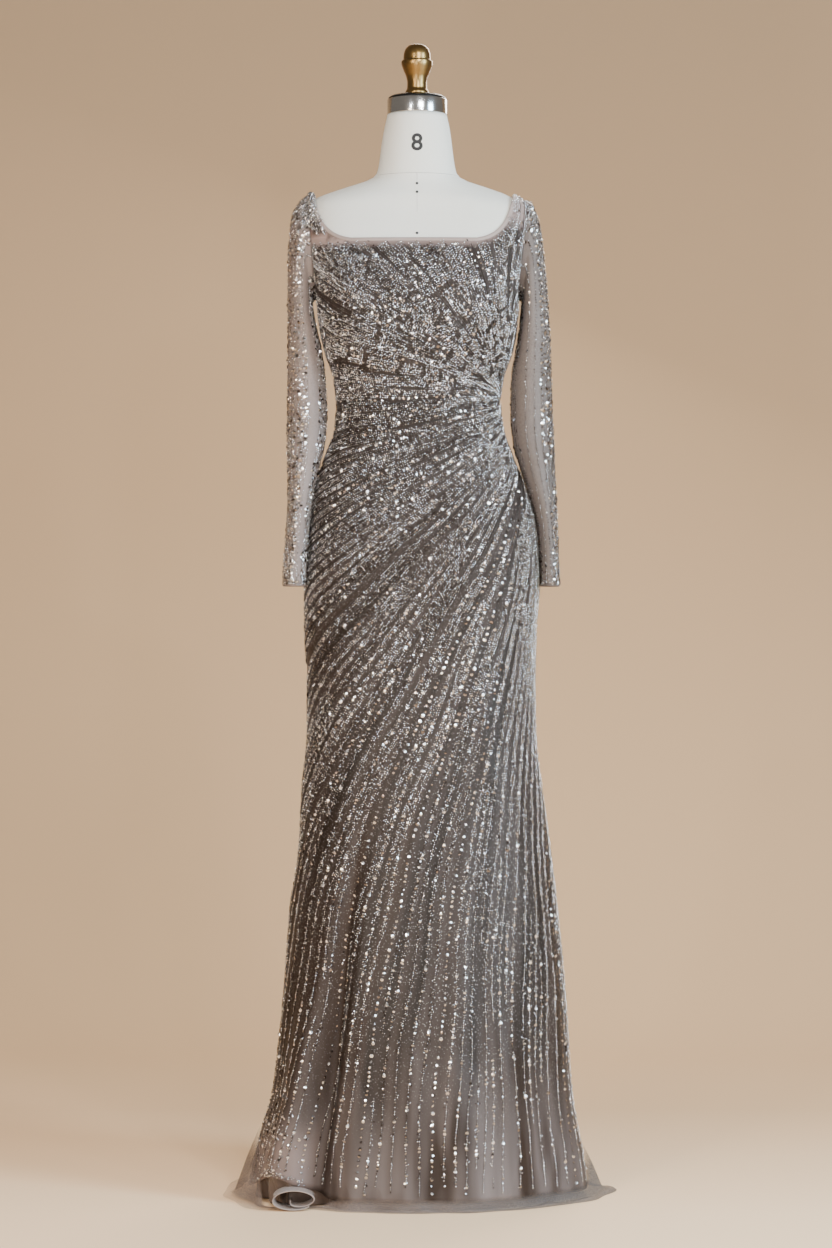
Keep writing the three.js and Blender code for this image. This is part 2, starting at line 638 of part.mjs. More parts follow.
// The zip's parts are drawn flat: x across, y out from the cloth, z up along it, then laid on the back
function onBack(geometry) {
  const low = clothPoint(180, ZIP.z - 15, 0);
  const high = clothPoint(180, ZIP.z + 10, 0);
  const lean = Math.atan2(low.y - high.y, high.z - low.z);
  const seat = clothPoint(180, ZIP.z, 0);
  return geometry.rotateX(lean).translate(0, seat.y, seat.z);
}

function barAlongX(radius, halfLength, sides) {
  return new THREE.CylinderGeometry(radius, radius, 2 * halfLength, sides).rotateZ(Math.PI / 2);
}

function zipSlider() {
  const corner = (x, y, z) => new THREE.Vector3(x, y, z);
  const half = ZIP.bodyWidth / 2;
  let slider = toManifold(block(corner(-half, SEAM_GAP, ZIP.bodyLow), corner(half, ZIP.bodyTop, ZIP.bodyHigh)));
  for (const side of [-1, 1]) {
    const inner = side * ZIP.lugInner;
    const outer = side * (ZIP.lugInner + ZIP.lugWidth);
    const low = corner(Math.min(inner, outer), 1, ZIP.lugLow);
    const high = corner(Math.max(inner, outer), ZIP.lugTop, ZIP.bodyLow + 1.5);
    slider = slider.add(toManifold(block(low, high)));
  }
  const pin = barAlongX(ZIP.pinRadius, ZIP.lugInner + ZIP.lugWidth / 2, 12);
  slider = slider.add(toManifold(pin.translate(0, ZIP.pinOut, ZIP.pinUp)));
  return onBack(fromManifold(slider));
}

function zipPull() {
  const shape = new THREE.Shape();
  shape.moveTo(-PULL.neck, 0);
  shape.lineTo(PULL.neck, 0);
  shape.lineTo(PULL.tip, -PULL.length + PULL.tip);
  shape.absarc(0, -PULL.length + PULL.tip, PULL.tip, 0, -Math.PI, true);
  shape.closePath();
  const plate = new THREE.ExtrudeGeometry(shape, { depth: PULL.plate, bevelEnabled: false, curveSegments: 10 });
  plate.rotateX(Math.PI / 2).translate(0, PULL.plate / 2, 0);
  const eye = barAlongX(PULL.eyeOuter, PULL.halfWidth, 16);
  const hole = barAlongX(PULL.eyeInner, PULL.halfWidth + 1, 16);
  const pull = toManifold(plate).add(toManifold(eye)).subtract(toManifold(hole));
  return onBack(fromManifold(pull).translate(0, ZIP.pinOut, ZIP.pinUp));
}

// Finishes
const finish = (color, roughness, metalness) => new THREE.MeshStandardMaterial({ color, roughness, metalness });
const beadedNet = finish(0x9a8b83, 0.45, 0.1);
const sheerNet = finish(0x94887f, 0.7, 0);
const satin = finish(0xa99a93, 0.4, 0);
const canvas = finish(0xe4e2d8, 0.85, 0);
const chrome = finish(0x8f969c, 0.15, 1);
const gilt = finish(0xc9a468, 0.3, 1);
const darkSteel = finish(0x3a3a3c, 0.4, 0.9);

const group = new THREE.Group();
function add(name, geometry, material) {
  const mesh = new THREE.Mesh(geometry, material);
  mesh.name = name;
  group.add(mesh);
  return mesh;
}

for (const [name, geometry] of Object.entries(gownPanels())) add(name, geometry, beadedNet);
add('sleeve_left', clearOfGown(sleeve(SLEEVE_LEFT, -1)), sheerNet);
add('sleeve_right', clearOfGown(sleeve(SLEEVE_RIGHT, 1)), sheerNet);
add('neck_binding', clearOfGown(neckBinding()), satin);
add('net_hem', clearOfGown(netHem()), sheerNet);
add('lining_roll', liningRoll(), satin).position.set(ROLL.x, ROLL.y, 0);
add('zip_slider', zipSlider(), satin);
add('zip_pull', zipPull(), satin);
add('form_torso', formTorso(), canvas);
add('form_neck_plate', turned(NECK_PLATE, 1643), chrome);
add('form_knob', turned(KNOB, 1719), gilt);
add('form_pole', formPole(), darkSteel);
add('form_collar', formCollar(), darkSteel);
add('form_base', formBase(), darkSteel);

export default group;
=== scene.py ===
# %% [markdown]
# # An evening gown on a dress form
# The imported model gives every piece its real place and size. This script dresses it: thin shells for
# the cloth, thousands of small beads, and turned metal for the stand. Lengths of cloth are written in
# millimetres, as on a pattern sheet, and MM turns them into Blender's metres.

# %% Load the fixed frame
import math

import bmesh
import bpy
import numpy as np
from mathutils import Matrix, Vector


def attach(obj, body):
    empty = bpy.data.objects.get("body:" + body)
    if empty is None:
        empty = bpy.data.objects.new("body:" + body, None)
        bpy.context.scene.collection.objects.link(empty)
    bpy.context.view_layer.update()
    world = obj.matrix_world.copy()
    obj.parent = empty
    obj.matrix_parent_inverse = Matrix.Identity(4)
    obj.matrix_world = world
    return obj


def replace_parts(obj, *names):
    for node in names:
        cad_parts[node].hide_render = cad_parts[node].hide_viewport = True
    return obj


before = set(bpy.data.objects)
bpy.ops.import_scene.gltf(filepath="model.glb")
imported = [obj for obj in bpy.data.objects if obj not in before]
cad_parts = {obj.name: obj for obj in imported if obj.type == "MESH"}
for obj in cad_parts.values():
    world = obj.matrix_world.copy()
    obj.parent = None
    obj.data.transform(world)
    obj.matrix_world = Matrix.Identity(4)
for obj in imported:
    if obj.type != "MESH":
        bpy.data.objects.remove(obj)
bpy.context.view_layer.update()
MM = 0.001
GOWN = "gown_on_form"
luck = np.random.default_rng(8)

# %% [markdown]
# ## Camera, light and floor
# A long lens far away keeps the gown's proportions flat, as a shop photographs it. Small metal beads
# show whatever is bright around them, so the light comes from big soft boxes with dark room between:
# a warm one on the left, a cooler one on the right, and a few small lamps that make single beads flash.

# %% Camera
camera_data = bpy.data.cameras.new("shop_camera")
camera_data.lens = 101.9
camera_data.sensor_width = 36
camera = bpy.data.objects.new("shop_camera", camera_data)
camera.location = (-0.0015, -5.3, 0.849)
camera.rotation_euler = (math.radians(90), 0, 0)
bpy.context.scene.collection.objects.link(camera)
bpy.context.scene.camera = camera


# %% Lights
def soft_box(name, place, aim, width, height, watts, color):
    """A rectangular lamp at place that points at aim."""
    data = bpy.data.lights.new(name, "AREA")
    data.shape = "RECTANGLE"
    data.size, data.size_y = width, height
    data.energy = watts
    data.color = color
    lamp = bpy.data.objects.new(name, data)
    lamp.location = place
    lamp.rotation_euler = (Vector(aim) - Vector(place)).to_track_quat("-Z", "Y").to_euler()
    bpy.context.scene.collection.objects.link(lamp)
    return lamp


CHEST = (0, 0, 1.0)
WARM = (1.0, 0.76, 0.54)
COOL = (0.66, 0.85, 1.0)
soft_box("warm_side", (-1.5, -3.0, 1.6), CHEST, 0.5, 1.2, 42, WARM)
soft_box("cool_side", (2.3, -1.6, 1.7), CHEST, 0.8, 1.9, 130, COOL)
soft_box("front_fill", (0.9, -3.2, 2.8), (0, 0, 1.0), 0.9, 0.6, 70, (1.0, 0.97, 0.93))
soft_box("back_fill", (0.6, 2.2, 2.4), CHEST, 1.4, 1.2, 60, (1.0, 0.93, 0.85))
for spot_x, spot_z in [(-1.2, 2.5), (0.9, 2.2), (-0.5, 0.6), (1.6, 0.9), (-1.9, 1.2), (0.3, 1.5)]:
    soft_box("spark", (spot_x, -2.8, spot_z), CHEST, 0.10, 0.10, 13, (1, 1, 1))

world = bpy.data.worlds.new("studio")
world.use_nodes = True
world.node_tree.nodes["Background"].inputs["Color"].default_value = (0.42, 0.36, 0.30, 1)
world.node_tree.nodes["Background"].inputs["Strength"].default_value = 0.62
bpy.context.scene.world = world


# %% [markdown]
# ## Shader expressions
# A material is a small sum of noise, stripes and colours. Written as nodes that is long, so Number
# wraps a socket and lets Python's own signs add the Math nodes, and Finish.node makes any other node.

# %% The Number and Finish classes
class Number:
    """A number in a shader: sums with it add Math nodes."""

    def __init__(self, finish, socket):
        self.finish = finish
        self.socket = socket

    def math(self, operation, *others):
        node = self.finish.node("ShaderNodeMath", {"operation": operation}, enumerate((self,) + others))
        return Number(self.finish, node.outputs[0])

    def __add__(self, other):
        return self.math("ADD", other)

    def __mul__(self, other):
        return self.math("MULTIPLY", other)

    __radd__ = __add__
    __rmul__ = __mul__

    def __sub__(self, other):
        return self.math("SUBTRACT", other)

    def __rsub__(self, other):
        return (self * -1.0).math("ADD", other)

    def sine(self):
        return self.math("SINE")

    def clamp(self):
        return self.math("MAXIMUM", 0.0).math("MINIMUM", 1.0)


class Finish:
    """One material, built from expressions."""

    def __init__(self, name, roughness=0.5, metallic=0.0, **constants):
        self.material = bpy.data.materials.new(name)
        self.material.use_nodes = True
        self.tree = self.material.node_tree
        self.shader = self.tree.nodes["Principled BSDF"]
        self.shader.inputs["Roughness"].default_value = roughness
        self.shader.inputs["Metallic"].default_value = metallic
        for socket, value in constants.items():
            self.shader.inputs[socket.replace("_", " ")].default_value = value

    def node(self, kind, settings=(), sockets=()):
        """Adds a node, sets its settings, then gives each socket a value or a link."""
        node = self.tree.nodes.new(kind)
        for name, value in dict(settings).items():
            setattr(node, name, value)
        for name, value in dict(sockets).items():
            if isinstance(value, Number):
                value = value.socket
            if isinstance(value, bpy.types.NodeSocket):
                self.tree.links.new(value, node.inputs[name])
            else:
                node.inputs[name].default_value = value
        return node

    def coordinates(self, kind="Object"):
        return self.node("ShaderNodeTexCoord").outputs[kind]

    def axis(self, vector, name):
        return Number(self, self.node("ShaderNodeSeparateXYZ", (), {0: vector}).outputs[name])

    def noise(self, vector, scale, detail=2.0, roughness=0.5):
        sockets = {"Vector": vector, "Scale": scale, "Detail": detail, "Roughness": roughness}
        return Number(self, self.node("ShaderNodeTexNoise", (), sockets).outputs[0])

    def stretched(self, vector, scale):
        """A pattern's coordinates with each axis scaled on its own."""
        return self.node("ShaderNodeMapping", (), {"Vector": vector, "Scale": scale}).outputs[0]

    def cells(self, vector, scale):
        sockets = {"Vector": vector, "Scale": scale}
        return Number(self, self.node("ShaderNodeTexVoronoi", (), sockets).outputs["Distance"])

    def attribute(self, name):
        node = self.node("ShaderNodeAttribute", {"attribute_name": name})
        return Number(self, node.outputs["Fac"])

    def blend(self, factor, first, second):
        """A colour between two, each a tuple or a socket."""
        first, second = [(*c, 1) if isinstance(c, tuple) else c for c in (first, second)]
        node = self.node("ShaderNodeMix", {"data_type": "RGBA"}, {0: factor, 6: first, 7: second})
        return node.outputs[2]

    def set(self, **sockets):
        for name, value in sockets.items():
            value = value.socket if isinstance(value, Number) else value
            self.tree.links.new(value, self.shader.inputs[name.replace("_", " ")])
        return self

    def bumps(self, height, distance, strength=1.0):
        sockets = {"Height": height, "Distance": distance, "Strength": strength}
        self.set(Normal=self.node("ShaderNodeBump", (), sockets).outputs[0])
        return self


def plain_weave(finish, per_metre):
    """Threads over and under each other, from the cloth's own flat map: 0 in the gaps, 1 on a thread."""
    flat = finish.coordinates("UV")
    across = (finish.axis(flat, "X") * (2 * math.pi * per_metre)).sine()
    along = (finish.axis(flat, "Y") * (2 * math.pi * per_metre)).sine()
    return (across * along) * 0.5 + 0.5


# %% [markdown]
# ## Finishes
# The gown's net is a warm taupe with a little pink, over satin. Beads are silver, from bright to
# gunmetal, each with a tint of its own. The form is unbleached canvas, its ring is chrome and its
# knob gilt brass under a film that dulls it unevenly.

# %% Cloth finishes
def net_over_satin():
    """Dark and sown with tiny beads, in streaks along the bead lines; plain satin shows near the hem."""
    finish = Finish("net_over_satin", 0.42, Specular_IOR_Level=0.22)
    place = finish.coordinates()
    flat = finish.coordinates("UV")
    height = finish.axis(place, "Z")
    streak = finish.attribute("streak")
    bare = finish.attribute("bare")
    along = finish.node("ShaderNodeCombineXYZ", (), {0: finish.attribute("stream"), 1: height * 0.12})
    pleats = finish.noise(along.outputs[0], 62.0, 2.0)
    folds = finish.noise(finish.stretched(flat, (1.0, 0.22, 1.0)), 13.0, 2.0)
    seeds = (1.5 - finish.cells(flat, 400.0) * 3.8).clamp()
    shade = finish.noise(flat, 400.0, 0.0)
    sown = ((height + folds * 0.3 - 0.25) * 4.5).clamp() * (1.0 - bare)
    lower = (2.45 - (height + folds * 0.5) * 5.0).clamp()
    gathered = ((height - 0.80) * 6.0).clamp() * (1.0 - bare)
    deep = finish.blend(streak, (0.011, 0.007, 0.005), (0.046, 0.035, 0.031))
    # Painted light and shade on the plain satin near the hem: its colour follows the fold noise, lighter
    # where the folds stand out and darker between them.
    satin_fold_light = (folds * 3.4 - 1.25 + (streak - 0.5) * 0.4).clamp()
    hem_satin_fold_light = finish.blend(satin_fold_light, (0.024, 0.015, 0.011), (0.185, 0.157, 0.153))
    cloth = finish.blend(lower, deep, hem_satin_fold_light)
    # The tiny beads are painted dots. Their colour is partly their own tint from gunmetal to silver and
    # partly painted glint: a few dots are near white.
    tiny_bead_tint_and_glint = finish.blend((shade * 7.0 - 3.7).clamp(), (0.036, 0.027, 0.022), (0.66, 0.65, 0.65))
    worked = finish.blend(seeds * sown * (0.35 + streak * 0.6), cloth, tiny_bead_tint_and_glint)
    # Painted shade: dark slits of colour across the gathered upper part stand for the shade in its pleats;
    # the pleats' bump is real.
    pleat_shade = ((0.43 - pleats) * 14.0).clamp() * gathered
    with_pleat_shade = finish.blend(pleat_shade, worked, (0.016, 0.011, 0.009))
    # Painted shade: the deep fold at the front corner, and the skirt beyond it towards the left, coloured
    # darker.
    hollow = finish.blend(finish.attribute("hollow"), with_pleat_shade, (0.026, 0.016, 0.012))
    finish.set(Base_Color=finish.blend(bare, hollow, (0.330, 0.250, 0.230)))
    finish.set(Metallic=seeds * sown * 0.6, Roughness=0.48 - seeds * sown * 0.18)
    lumps = pleats * gathered * 1.1 + seeds * sown * 0.10 + folds * (lower * 3.0 + 0.6)
    return finish.bumps(lumps, 0.004, 0.9).material


def sheer_net(name, low, high, hem=False):
    """Net with air between its threads: low is how solid a hole looks and high a thread."""
    finish = Finish(name, 0.62, Specular_IOR_Level=0.3)
    place = finish.coordinates()
    flat = finish.coordinates("UV")
    mesh = (finish.cells(flat, 560.0) * 1.6).clamp()
    tone = finish.noise(place, 11.0, 2.0)
    # Painted light and shade: the net is coloured lighter and warmer towards -X and darker and greyer
    # towards +X, one side against the other.
    side = (finish.axis(place, "X") * 2.5 + 0.5).clamp()
    warm = finish.blend(tone, (0.225, 0.178, 0.160), (0.300, 0.248, 0.228))
    color = finish.blend(side, warm, finish.blend(tone, (0.132, 0.114, 0.106), (0.180, 0.158, 0.150)))
    solid = low + mesh * (high - low) + tone * 0.08
    if hem:
        run = finish.axis(flat, "Y")
        left = (finish.axis(place, "X") * -2.6).clamp() * ((run - 0.04) * 80.0).clamp()
        solid = solid * ((run - 0.009) * 60.0).clamp() * (1.0 - left)
    finish.set(Base_Color=color, Alpha=solid.clamp())
    return finish.bumps(mesh, 0.0006, 0.5).material


def satin(name, dark, light):
    finish = Finish(name, 0.34, Sheen_Weight=0.2, Sheen_Roughness=0.3, Anisotropic=0.3)
    place = finish.coordinates()
    tone = finish.noise(place, 16.0, 2.0)
    threads = plain_weave(finish, 1600)
    finish.set(Base_Color=finish.blend(tone, dark, light), Roughness=0.30 + tone * 0.12)
    return finish.bumps(threads * 0.4 + tone, 0.0004, 0.5).material


def canvas():
    finish = Finish("unbleached_canvas", 0.85, Sheen_Weight=0.1)
    place = finish.coordinates()
    tone = finish.noise(place, 7.0, 3.0)
    slub = finish.noise(place, 260.0, 2.0)
    threads = plain_weave(finish, 1100)
    color = finish.blend(tone * 0.6 + slub * 0.3, (0.86, 0.865, 0.80), (0.93, 0.94, 0.89))
    finish.set(Base_Color=color, Roughness=0.78 + slub * 0.14)
    return finish.bumps(threads + slub * 0.8, 0.0005, 0.8).material


NET = net_over_satin()
SLEEVE_NET = sheer_net("sleeve_net", 0.56, 0.86)
HEM_NET = sheer_net("hem_net", 0.22, 0.44, hem=True)
LINING = satin("lining_satin", (0.25, 0.200, 0.180), (0.33, 0.270, 0.248))
SHADED_LINING = satin("lining_in_shade", (0.085, 0.060, 0.049), (0.150, 0.115, 0.100))
BINDING = satin("binding_satin", (0.27, 0.215, 0.196), (0.36, 0.295, 0.272))
CANVAS = canvas()


# %% Metal finishes
def beads(name, dark, light, roughness):
    """Each bead carries a tint, from gunmetal to silver."""
    finish = Finish(name, roughness, 1.0)
    tint = finish.attribute("tint")
    finish.set(Base_Color=finish.blend(tint, dark, light), Roughness=roughness + tint * 0.08)
    return finish.material


def metal(name, dark, light, roughness, scale=60.0):
    """Turned metal: fine marks round it, and a film that dulls it unevenly."""
    finish = Finish(name, roughness, 1.0)
    place = finish.coordinates()
    film = finish.noise(place, scale, 4.0, 0.6)
    marks = finish.noise(place, scale * 14.0, 2.0)
    finish.set(Base_Color=finish.blend(film, dark, light), Roughness=roughness + film * 0.14)
    return finish.bumps(marks, 0.00012, 0.4).material


SEED_BEAD = beads("seed_bead", (0.075, 0.054, 0.044), (0.91, 0.95, 1.0), 0.17)
SEQUIN = beads("sequin", (0.22, 0.185, 0.170), (0.95, 0.97, 1.0), 0.11)
CHROME = metal("chrome", (0.46, 0.48, 0.50), (0.66, 0.68, 0.70), 0.08, 30.0)
DARK_DOME = metal("dark_dome", (0.030, 0.032, 0.036), (0.06, 0.062, 0.066), 0.32)
GILT = metal("gilt_brass", (0.17, 0.103, 0.034), (0.34, 0.228, 0.092), 0.24)
STAND = metal("stand_steel", (0.035, 0.034, 0.033), (0.065, 0.063, 0.06), 0.36)
ZIP = metal("zip_enamel", (0.24, 0.20, 0.18), (0.32, 0.27, 0.25), 0.35, 200.0)
INK = Finish("number_ink", 0.7, Base_Color=(0.012, 0.012, 0.013, 1)).material

# %% [markdown]
# ## The gown's form
# The outside is a table of sections from the hem to the neck: half widths left and right, depths in
# front and behind, and how square each section is. Folds are soft troughs and ridges that grow
# towards the hem. The sewn cloth also drags a little where it fits closely, so a second table places
# each small crease one by one: where it lies, which way it leans, how long, wide and high it is.

# %% Tables of the form
HEM_Z = 12.0
TOP_Z = 1500.0
BODY = [  # z, left, right, front, back, square
    (0, 247, 251, 215, 250, 2.1), (22, 245, 250, 214, 243, 2.1), (60, 238, 245, 210, 234, 2.1),
    (105, 228, 237, 205, 225, 2.1), (150, 216, 231, 199, 216, 2.1), (240, 206, 226, 185, 200, 2.1),
    (330, 197, 219, 169, 183, 2.1), (420, 190, 210, 152, 164, 2.1), (510, 177, 199, 136, 146, 2.1),
    (600, 172, 187, 123, 130, 2.15), (690, 164, 177, 114, 119, 2.2), (760, 164, 176, 111, 119, 2.25),
    (847, 168, 178, 111, 127, 2.3), (915, 168, 183, 113, 133, 2.3), (990, 161, 179, 111, 130, 2.3),
    (1050, 153, 163, 106, 118, 2.25), (1100, 137, 143, 98, 103, 2.2), (1140, 123, 129, 93, 91, 2.2),
    (1180, 120, 124, 92, 87, 2.2), (1215, 124, 128, 98, 90, 2.25), (1262, 138, 143, 115, 96, 2.4),
    (1310, 146, 149, 123, 101, 2.5), (1350, 152, 152, 118, 104, 2.7), (1400, 160, 160, 101, 99, 3.1),
    (1440, 165, 165, 83, 88, 3.3), (1465, 166, 165, 72, 79, 3.0), (1478, 162, 157, 68, 74, 2.6),
    (1486, 154, 147, 65, 70, 2.2), (1493, 138, 134, 62, 67, 1.9), (1500, 118, 115, 58, 62, 1.75),
    (1508, 92, 90, 54, 58, 1.8), (1516, 69, 68, 51, 55, 1.9), (1526, 60, 59, 49, 52, 2),
    (1546, 56, 55, 48, 50, 2), (1570, 53, 52, 47, 48, 2), (1592, 49, 49, 46, 46, 2),
    (1612, 44.5, 44.5, 44.5, 44.5, 2),
]
FOLDS = [  # angle, width, out at the hem, height where it begins
    (-52.5, 8, 28, 420), (-40.5, 6, -25, 620), (-15, 7, -7, 520), (7.5, 6, -8, 420),
    (30, 6, -6, 600), (52.5, 7, -9, 520), (75, 8, 9, 260), (105, 8, -12, 560),
    (127.5, 8, -14, 620), (157.5, 8, -12, 500), (180, 8, -15, 640), (210, 8, -13, 520),
    (240, 8, -14, 600), (262.5, 8, -9, 440), (285, 8, 10, 250),
]
CUP_ANGLE, CUP_WIDTH, CUP_OUT, CUP_Z, CUP_HEIGHT = 36, 17, 6, 1312, 48
CREASES = [  # angle, z, lean from level in degrees, length, width, rise
    (-58, 1192, -14, 42, 5, 1.7), (-38, 1168, -8, 50, 5, 1.4), (-64, 1218, -24, 34, 5, 1.5),
    (-22, 1186, -10, 46, 4, 1.1), (58, 1196, 12, 32, 5, 1.5), (46, 1160, 6, 44, 5, 1.3),
    (-76, 1316, 52, 34, 6, 2.2), (77, 1318, -52, 34, 6, 2.2), (-66, 1296, 38, 26, 5, 1.4),
    (68, 1292, -40, 24, 5, 1.3), (-48, 1118, 14, 48, 6, 1.5), (52, 1108, -40, 36, 6, 1.6),
    (-20, 1086, 20, 58, 6, 1.2), (20, 1040, 42, 60, 7, 1.3), (-60, 960, 36, 62, 8, 1.6),
    (34, 930, 62, 66, 8, 1.4), (-30, 800, 58, 84, 9, 2.4), (4, 720, 66, 96, 9, 2.6),
    (44, 700, 96, 110, 9, 2.4), (-62, 640, 74, 104, 10, 2.8), (-6, 480, 78, 120, 10, 3.0),
    (22, 360, 84, 130, 9, 3.2), (64, 420, 98, 130, 10, 3.0), (-72, 330, 78, 110, 10, 3.2),
    (-24, 240, 82, 96, 9, 3.0), (40, 190, 94, 90, 9, 3.2), (14, 120, 88, 60, 8, 2.6),
    (122, 1190, 14, 36, 5, 1.6), (150, 1168, 8, 42, 5, 1.4), (-150, 1176, -8, 42, 5, 1.4),
    (-124, 1204, -16, 36, 5, 1.6), (104, 1316, 48, 30, 6, 2.0), (-104, 1316, -48, 30, 6, 2.0),
    (140, 1100, 24, 46, 6, 1.4), (-138, 1090, -24, 46, 6, 1.4), (164, 830, 84, 90, 9, 2.4),
    (-160, 800, 96, 90, 9, 2.4), (118, 700, 86, 100, 10, 2.8), (-116, 680, 94, 100, 10, 2.8),
    (-42, 170, 88, 210, 7, -15), (-50, 300, 84, 150, 6, 5), (-33, 210, 86, 170, 6, 6),
    (142, 420, 84, 120, 10, 3.2), (-168, 380, 92, 120, 10, 3.2), (-140, 260, 96, 90, 9, 3.0),
]
LIFT_ANGLE, LIFT_WIDTHS, LIFT_OUT, LIFT_TOP_Z = -54, (12, 7.5), 30, 150
SHOULDER_LOW_Z, SHOULDER_TOP_Z = 1436, 1480
STRAP_RISE, CAP_RISE = (2.0, 6.0), (12.5, 0.5)  # left and right


# %% Curves through the tables
class SmoothTable:
    """The columns of a table as curves over its first column, none of which swings past its rows."""

    def __init__(self, rows):
        data = np.array(rows, float)
        self.key = data[:, 0]
        self.value = data[:, 1:]
        steps = np.diff(self.value, axis=0) / np.diff(self.key)[:, None]
        total = steps[:-1] + steps[1:]
        product = steps[:-1] * steps[1:]
        inner = np.where(product > 0, 2 * product / np.where(total == 0, 1, total), 0)
        self.slope = np.vstack([steps[:1], inner, steps[-1:]])

    def __call__(self, key):
        key = np.asarray(key, float)
        low = np.clip(np.searchsorted(self.key, key) - 1, 0, len(self.key) - 2)
        span = (self.key[low + 1] - self.key[low])[..., None]
        t = np.clip((key - self.key[low])[..., None] / span, 0, 1)
        curve = self.value[low] * (2 * t**3 - 3 * t**2 + 1) + self.value[low + 1] * (3 * t**2 - 2 * t**3)
        curve += span * (self.slope[low] * (t**3 - 2 * t**2 + t) + self.slope[low + 1] * (t**3 - t**2))
        return np.moveaxis(curve, -1, 0)


body_at = SmoothTable(BODY)


def ease(t):
    t = np.clip(t, 0, 1)
    return t * t * (3 - 2 * t)


def unit(vectors):
    return vectors / np.linalg.norm(vectors, axis=-1, keepdims=True)


def turn_between(angle, middle):
    return (angle - middle + 180) % 360 - 180


def bump(angle, middle, width):
    """1 at the middle and 0 far from it, over the angle."""
    return np.exp(-0.5 * (turn_between(angle, middle) / width) ** 2)


def surface(angle, z, creased=True):
    """Points in millimetres of the gown's outside, at angles in degrees from the centre front."""
    angle, z = np.broadcast_arrays(np.asarray(angle, float), np.asarray(z, float))
    left, right, front, back, square = body_at(z)
    side, ahead = np.sin(np.radians(angle)), np.cos(np.radians(angle))
    across = np.abs(side) / np.where(side < 0, left, right)
    along = np.abs(ahead) / np.where(ahead < 0, back, front)
    radius = (across**square + along**square) ** (-1 / square)
    for middle, width, out, top in FOLDS:
        radius = radius + out * bump(angle, middle, width) * ease(1 - z / top) ** 1.2
    cups = bump(angle, CUP_ANGLE, CUP_WIDTH) + bump(angle, -CUP_ANGLE, CUP_WIDTH)
    radius = radius + CUP_OUT * cups * np.exp(-0.5 * ((z - CUP_Z) / CUP_HEIGHT) ** 2)
    if creased:
        radius = radius + creases(angle, z, radius)
    return np.stack([radius * side, -radius * ahead, z], -1)


def ridge(sideways, up, lean, length, width):
    """1 in the middle of a crease that leans from level, and 0 far from it."""
    slope = math.radians(lean)
    along = sideways * math.cos(slope) + up * math.sin(slope)
    across = up * math.cos(slope) - sideways * math.sin(slope)
    return np.exp(-0.5 * ((along / length) ** 2 + (across / width) ** 2))


def creases(angle, z, radius):
    rise = np.zeros_like(z)
    for middle, height, lean, length, width, out in CREASES:
        sideways = np.radians(turn_between(angle, middle)) * radius
        rise = rise + out * ridge(sideways, z - height, lean, length, width)
    return rise


def off_surface(angle, z, out=0.0, creased=True):
    """The same points moved out along the cloth's normal, and the normals."""
    along = surface(angle + 0.5, z, creased) - surface(angle - 0.5, z, creased)
    up = surface(angle, z + 1, creased) - surface(angle, z - 1, creased)
    normal = unit(np.cross(along, up))
    out = np.asarray(out, float)[..., None]
    return surface(angle, z, creased) + out * normal, normal


def lift_at(angle):
    """How far the hem is raised at its turned-up front corner."""
    left, right = LIFT_WIDTHS
    return LIFT_OUT * bump(angle, LIFT_ANGLE, np.where(turn_between(angle, LIFT_ANGLE) < 0, left, right))


def lifted(angle, z):
    """Heights near the hem, with that corner raised."""
    return z + lift_at(angle) * ease(1 - (z - HEM_Z) / (LIFT_TOP_Z - HEM_Z))


def shoulder_rise(x, z):
    """The padded shoulders stand a little proud of the form."""
    up = ease((z - SHOULDER_LOW_Z) / (SHOULDER_TOP_Z - SHOULDER_LOW_Z))
    strap, cap = [np.where(x < 0, *rise) for rise in (STRAP_RISE, CAP_RISE)]
    return up * (strap * ease((np.abs(x) - 95) / 45) + cap * ease((np.abs(x) - 150) / 12))


def on_cloth(angle, z, out=0.0):
    """Points on the cloth as it is worn, with its hem corner and shoulders raised, and the normals."""
    point, normal = off_surface(angle, lifted(angle, z), out)
    point[..., 2] += shoulder_rise(point[..., 0], point[..., 2])
    return point, normal


BISECTIONS = 26


def angle_where(axis, distance, z, near, far):
    """The angle, from near to far, at which the cloth stands a distance out along an axis (0 x, 1 y)."""
    near, far, distance = [a.copy() for a in np.broadcast_arrays(near * 1.0, far * 1.0, distance * 1.0)]
    for _ in range(BISECTIONS):
        middle = (near + far) / 2
        inside = np.abs(surface(middle, z)[..., axis]) < np.abs(distance)
        near = np.where(inside, middle, near)
        far = np.where(inside, far, middle)
    return (near + far) / 2


waist_ring = surface(np.arange(0, 361, 2), 1180.0)
print("waist round", round(float(np.linalg.norm(np.diff(waist_ring, axis=0), axis=1).sum())))

# %% [markdown]
# ## Sheets cut on the flat, then laid on the form
# A maker cuts a panel flat and sews it into shape. The mesh follows: bmesh's grid is the flat panel,
# bisect_plane cuts the neckline and the armholes along short straight lines, and then every vertex
# goes to its place on the form. The flat position stays on the mesh as its UV map, for the weave.

# %% Sheet helpers
def finish_piece(bm, name, materials, smooth=True):
    mesh = bpy.data.meshes.new(name)
    bm.to_mesh(mesh)
    bm.free()
    piece = bpy.data.objects.new(name, mesh)
    bpy.context.scene.collection.objects.link(piece)
    for material in materials:
        mesh.materials.append(material)
    mesh.polygons.foreach_set("use_smooth", [smooth] * len(mesh.polygons))
    return piece


def thicken(piece, thickness, lining=False):
    """Gives a sheet its wall on the inside, faced with the piece's second material if it is lined."""
    wall = piece.modifiers.new("wall", "SOLIDIFY")
    wall.thickness = thickness * MM
    wall.offset = -1
    if lining:
        wall.material_offset = 1
    return piece


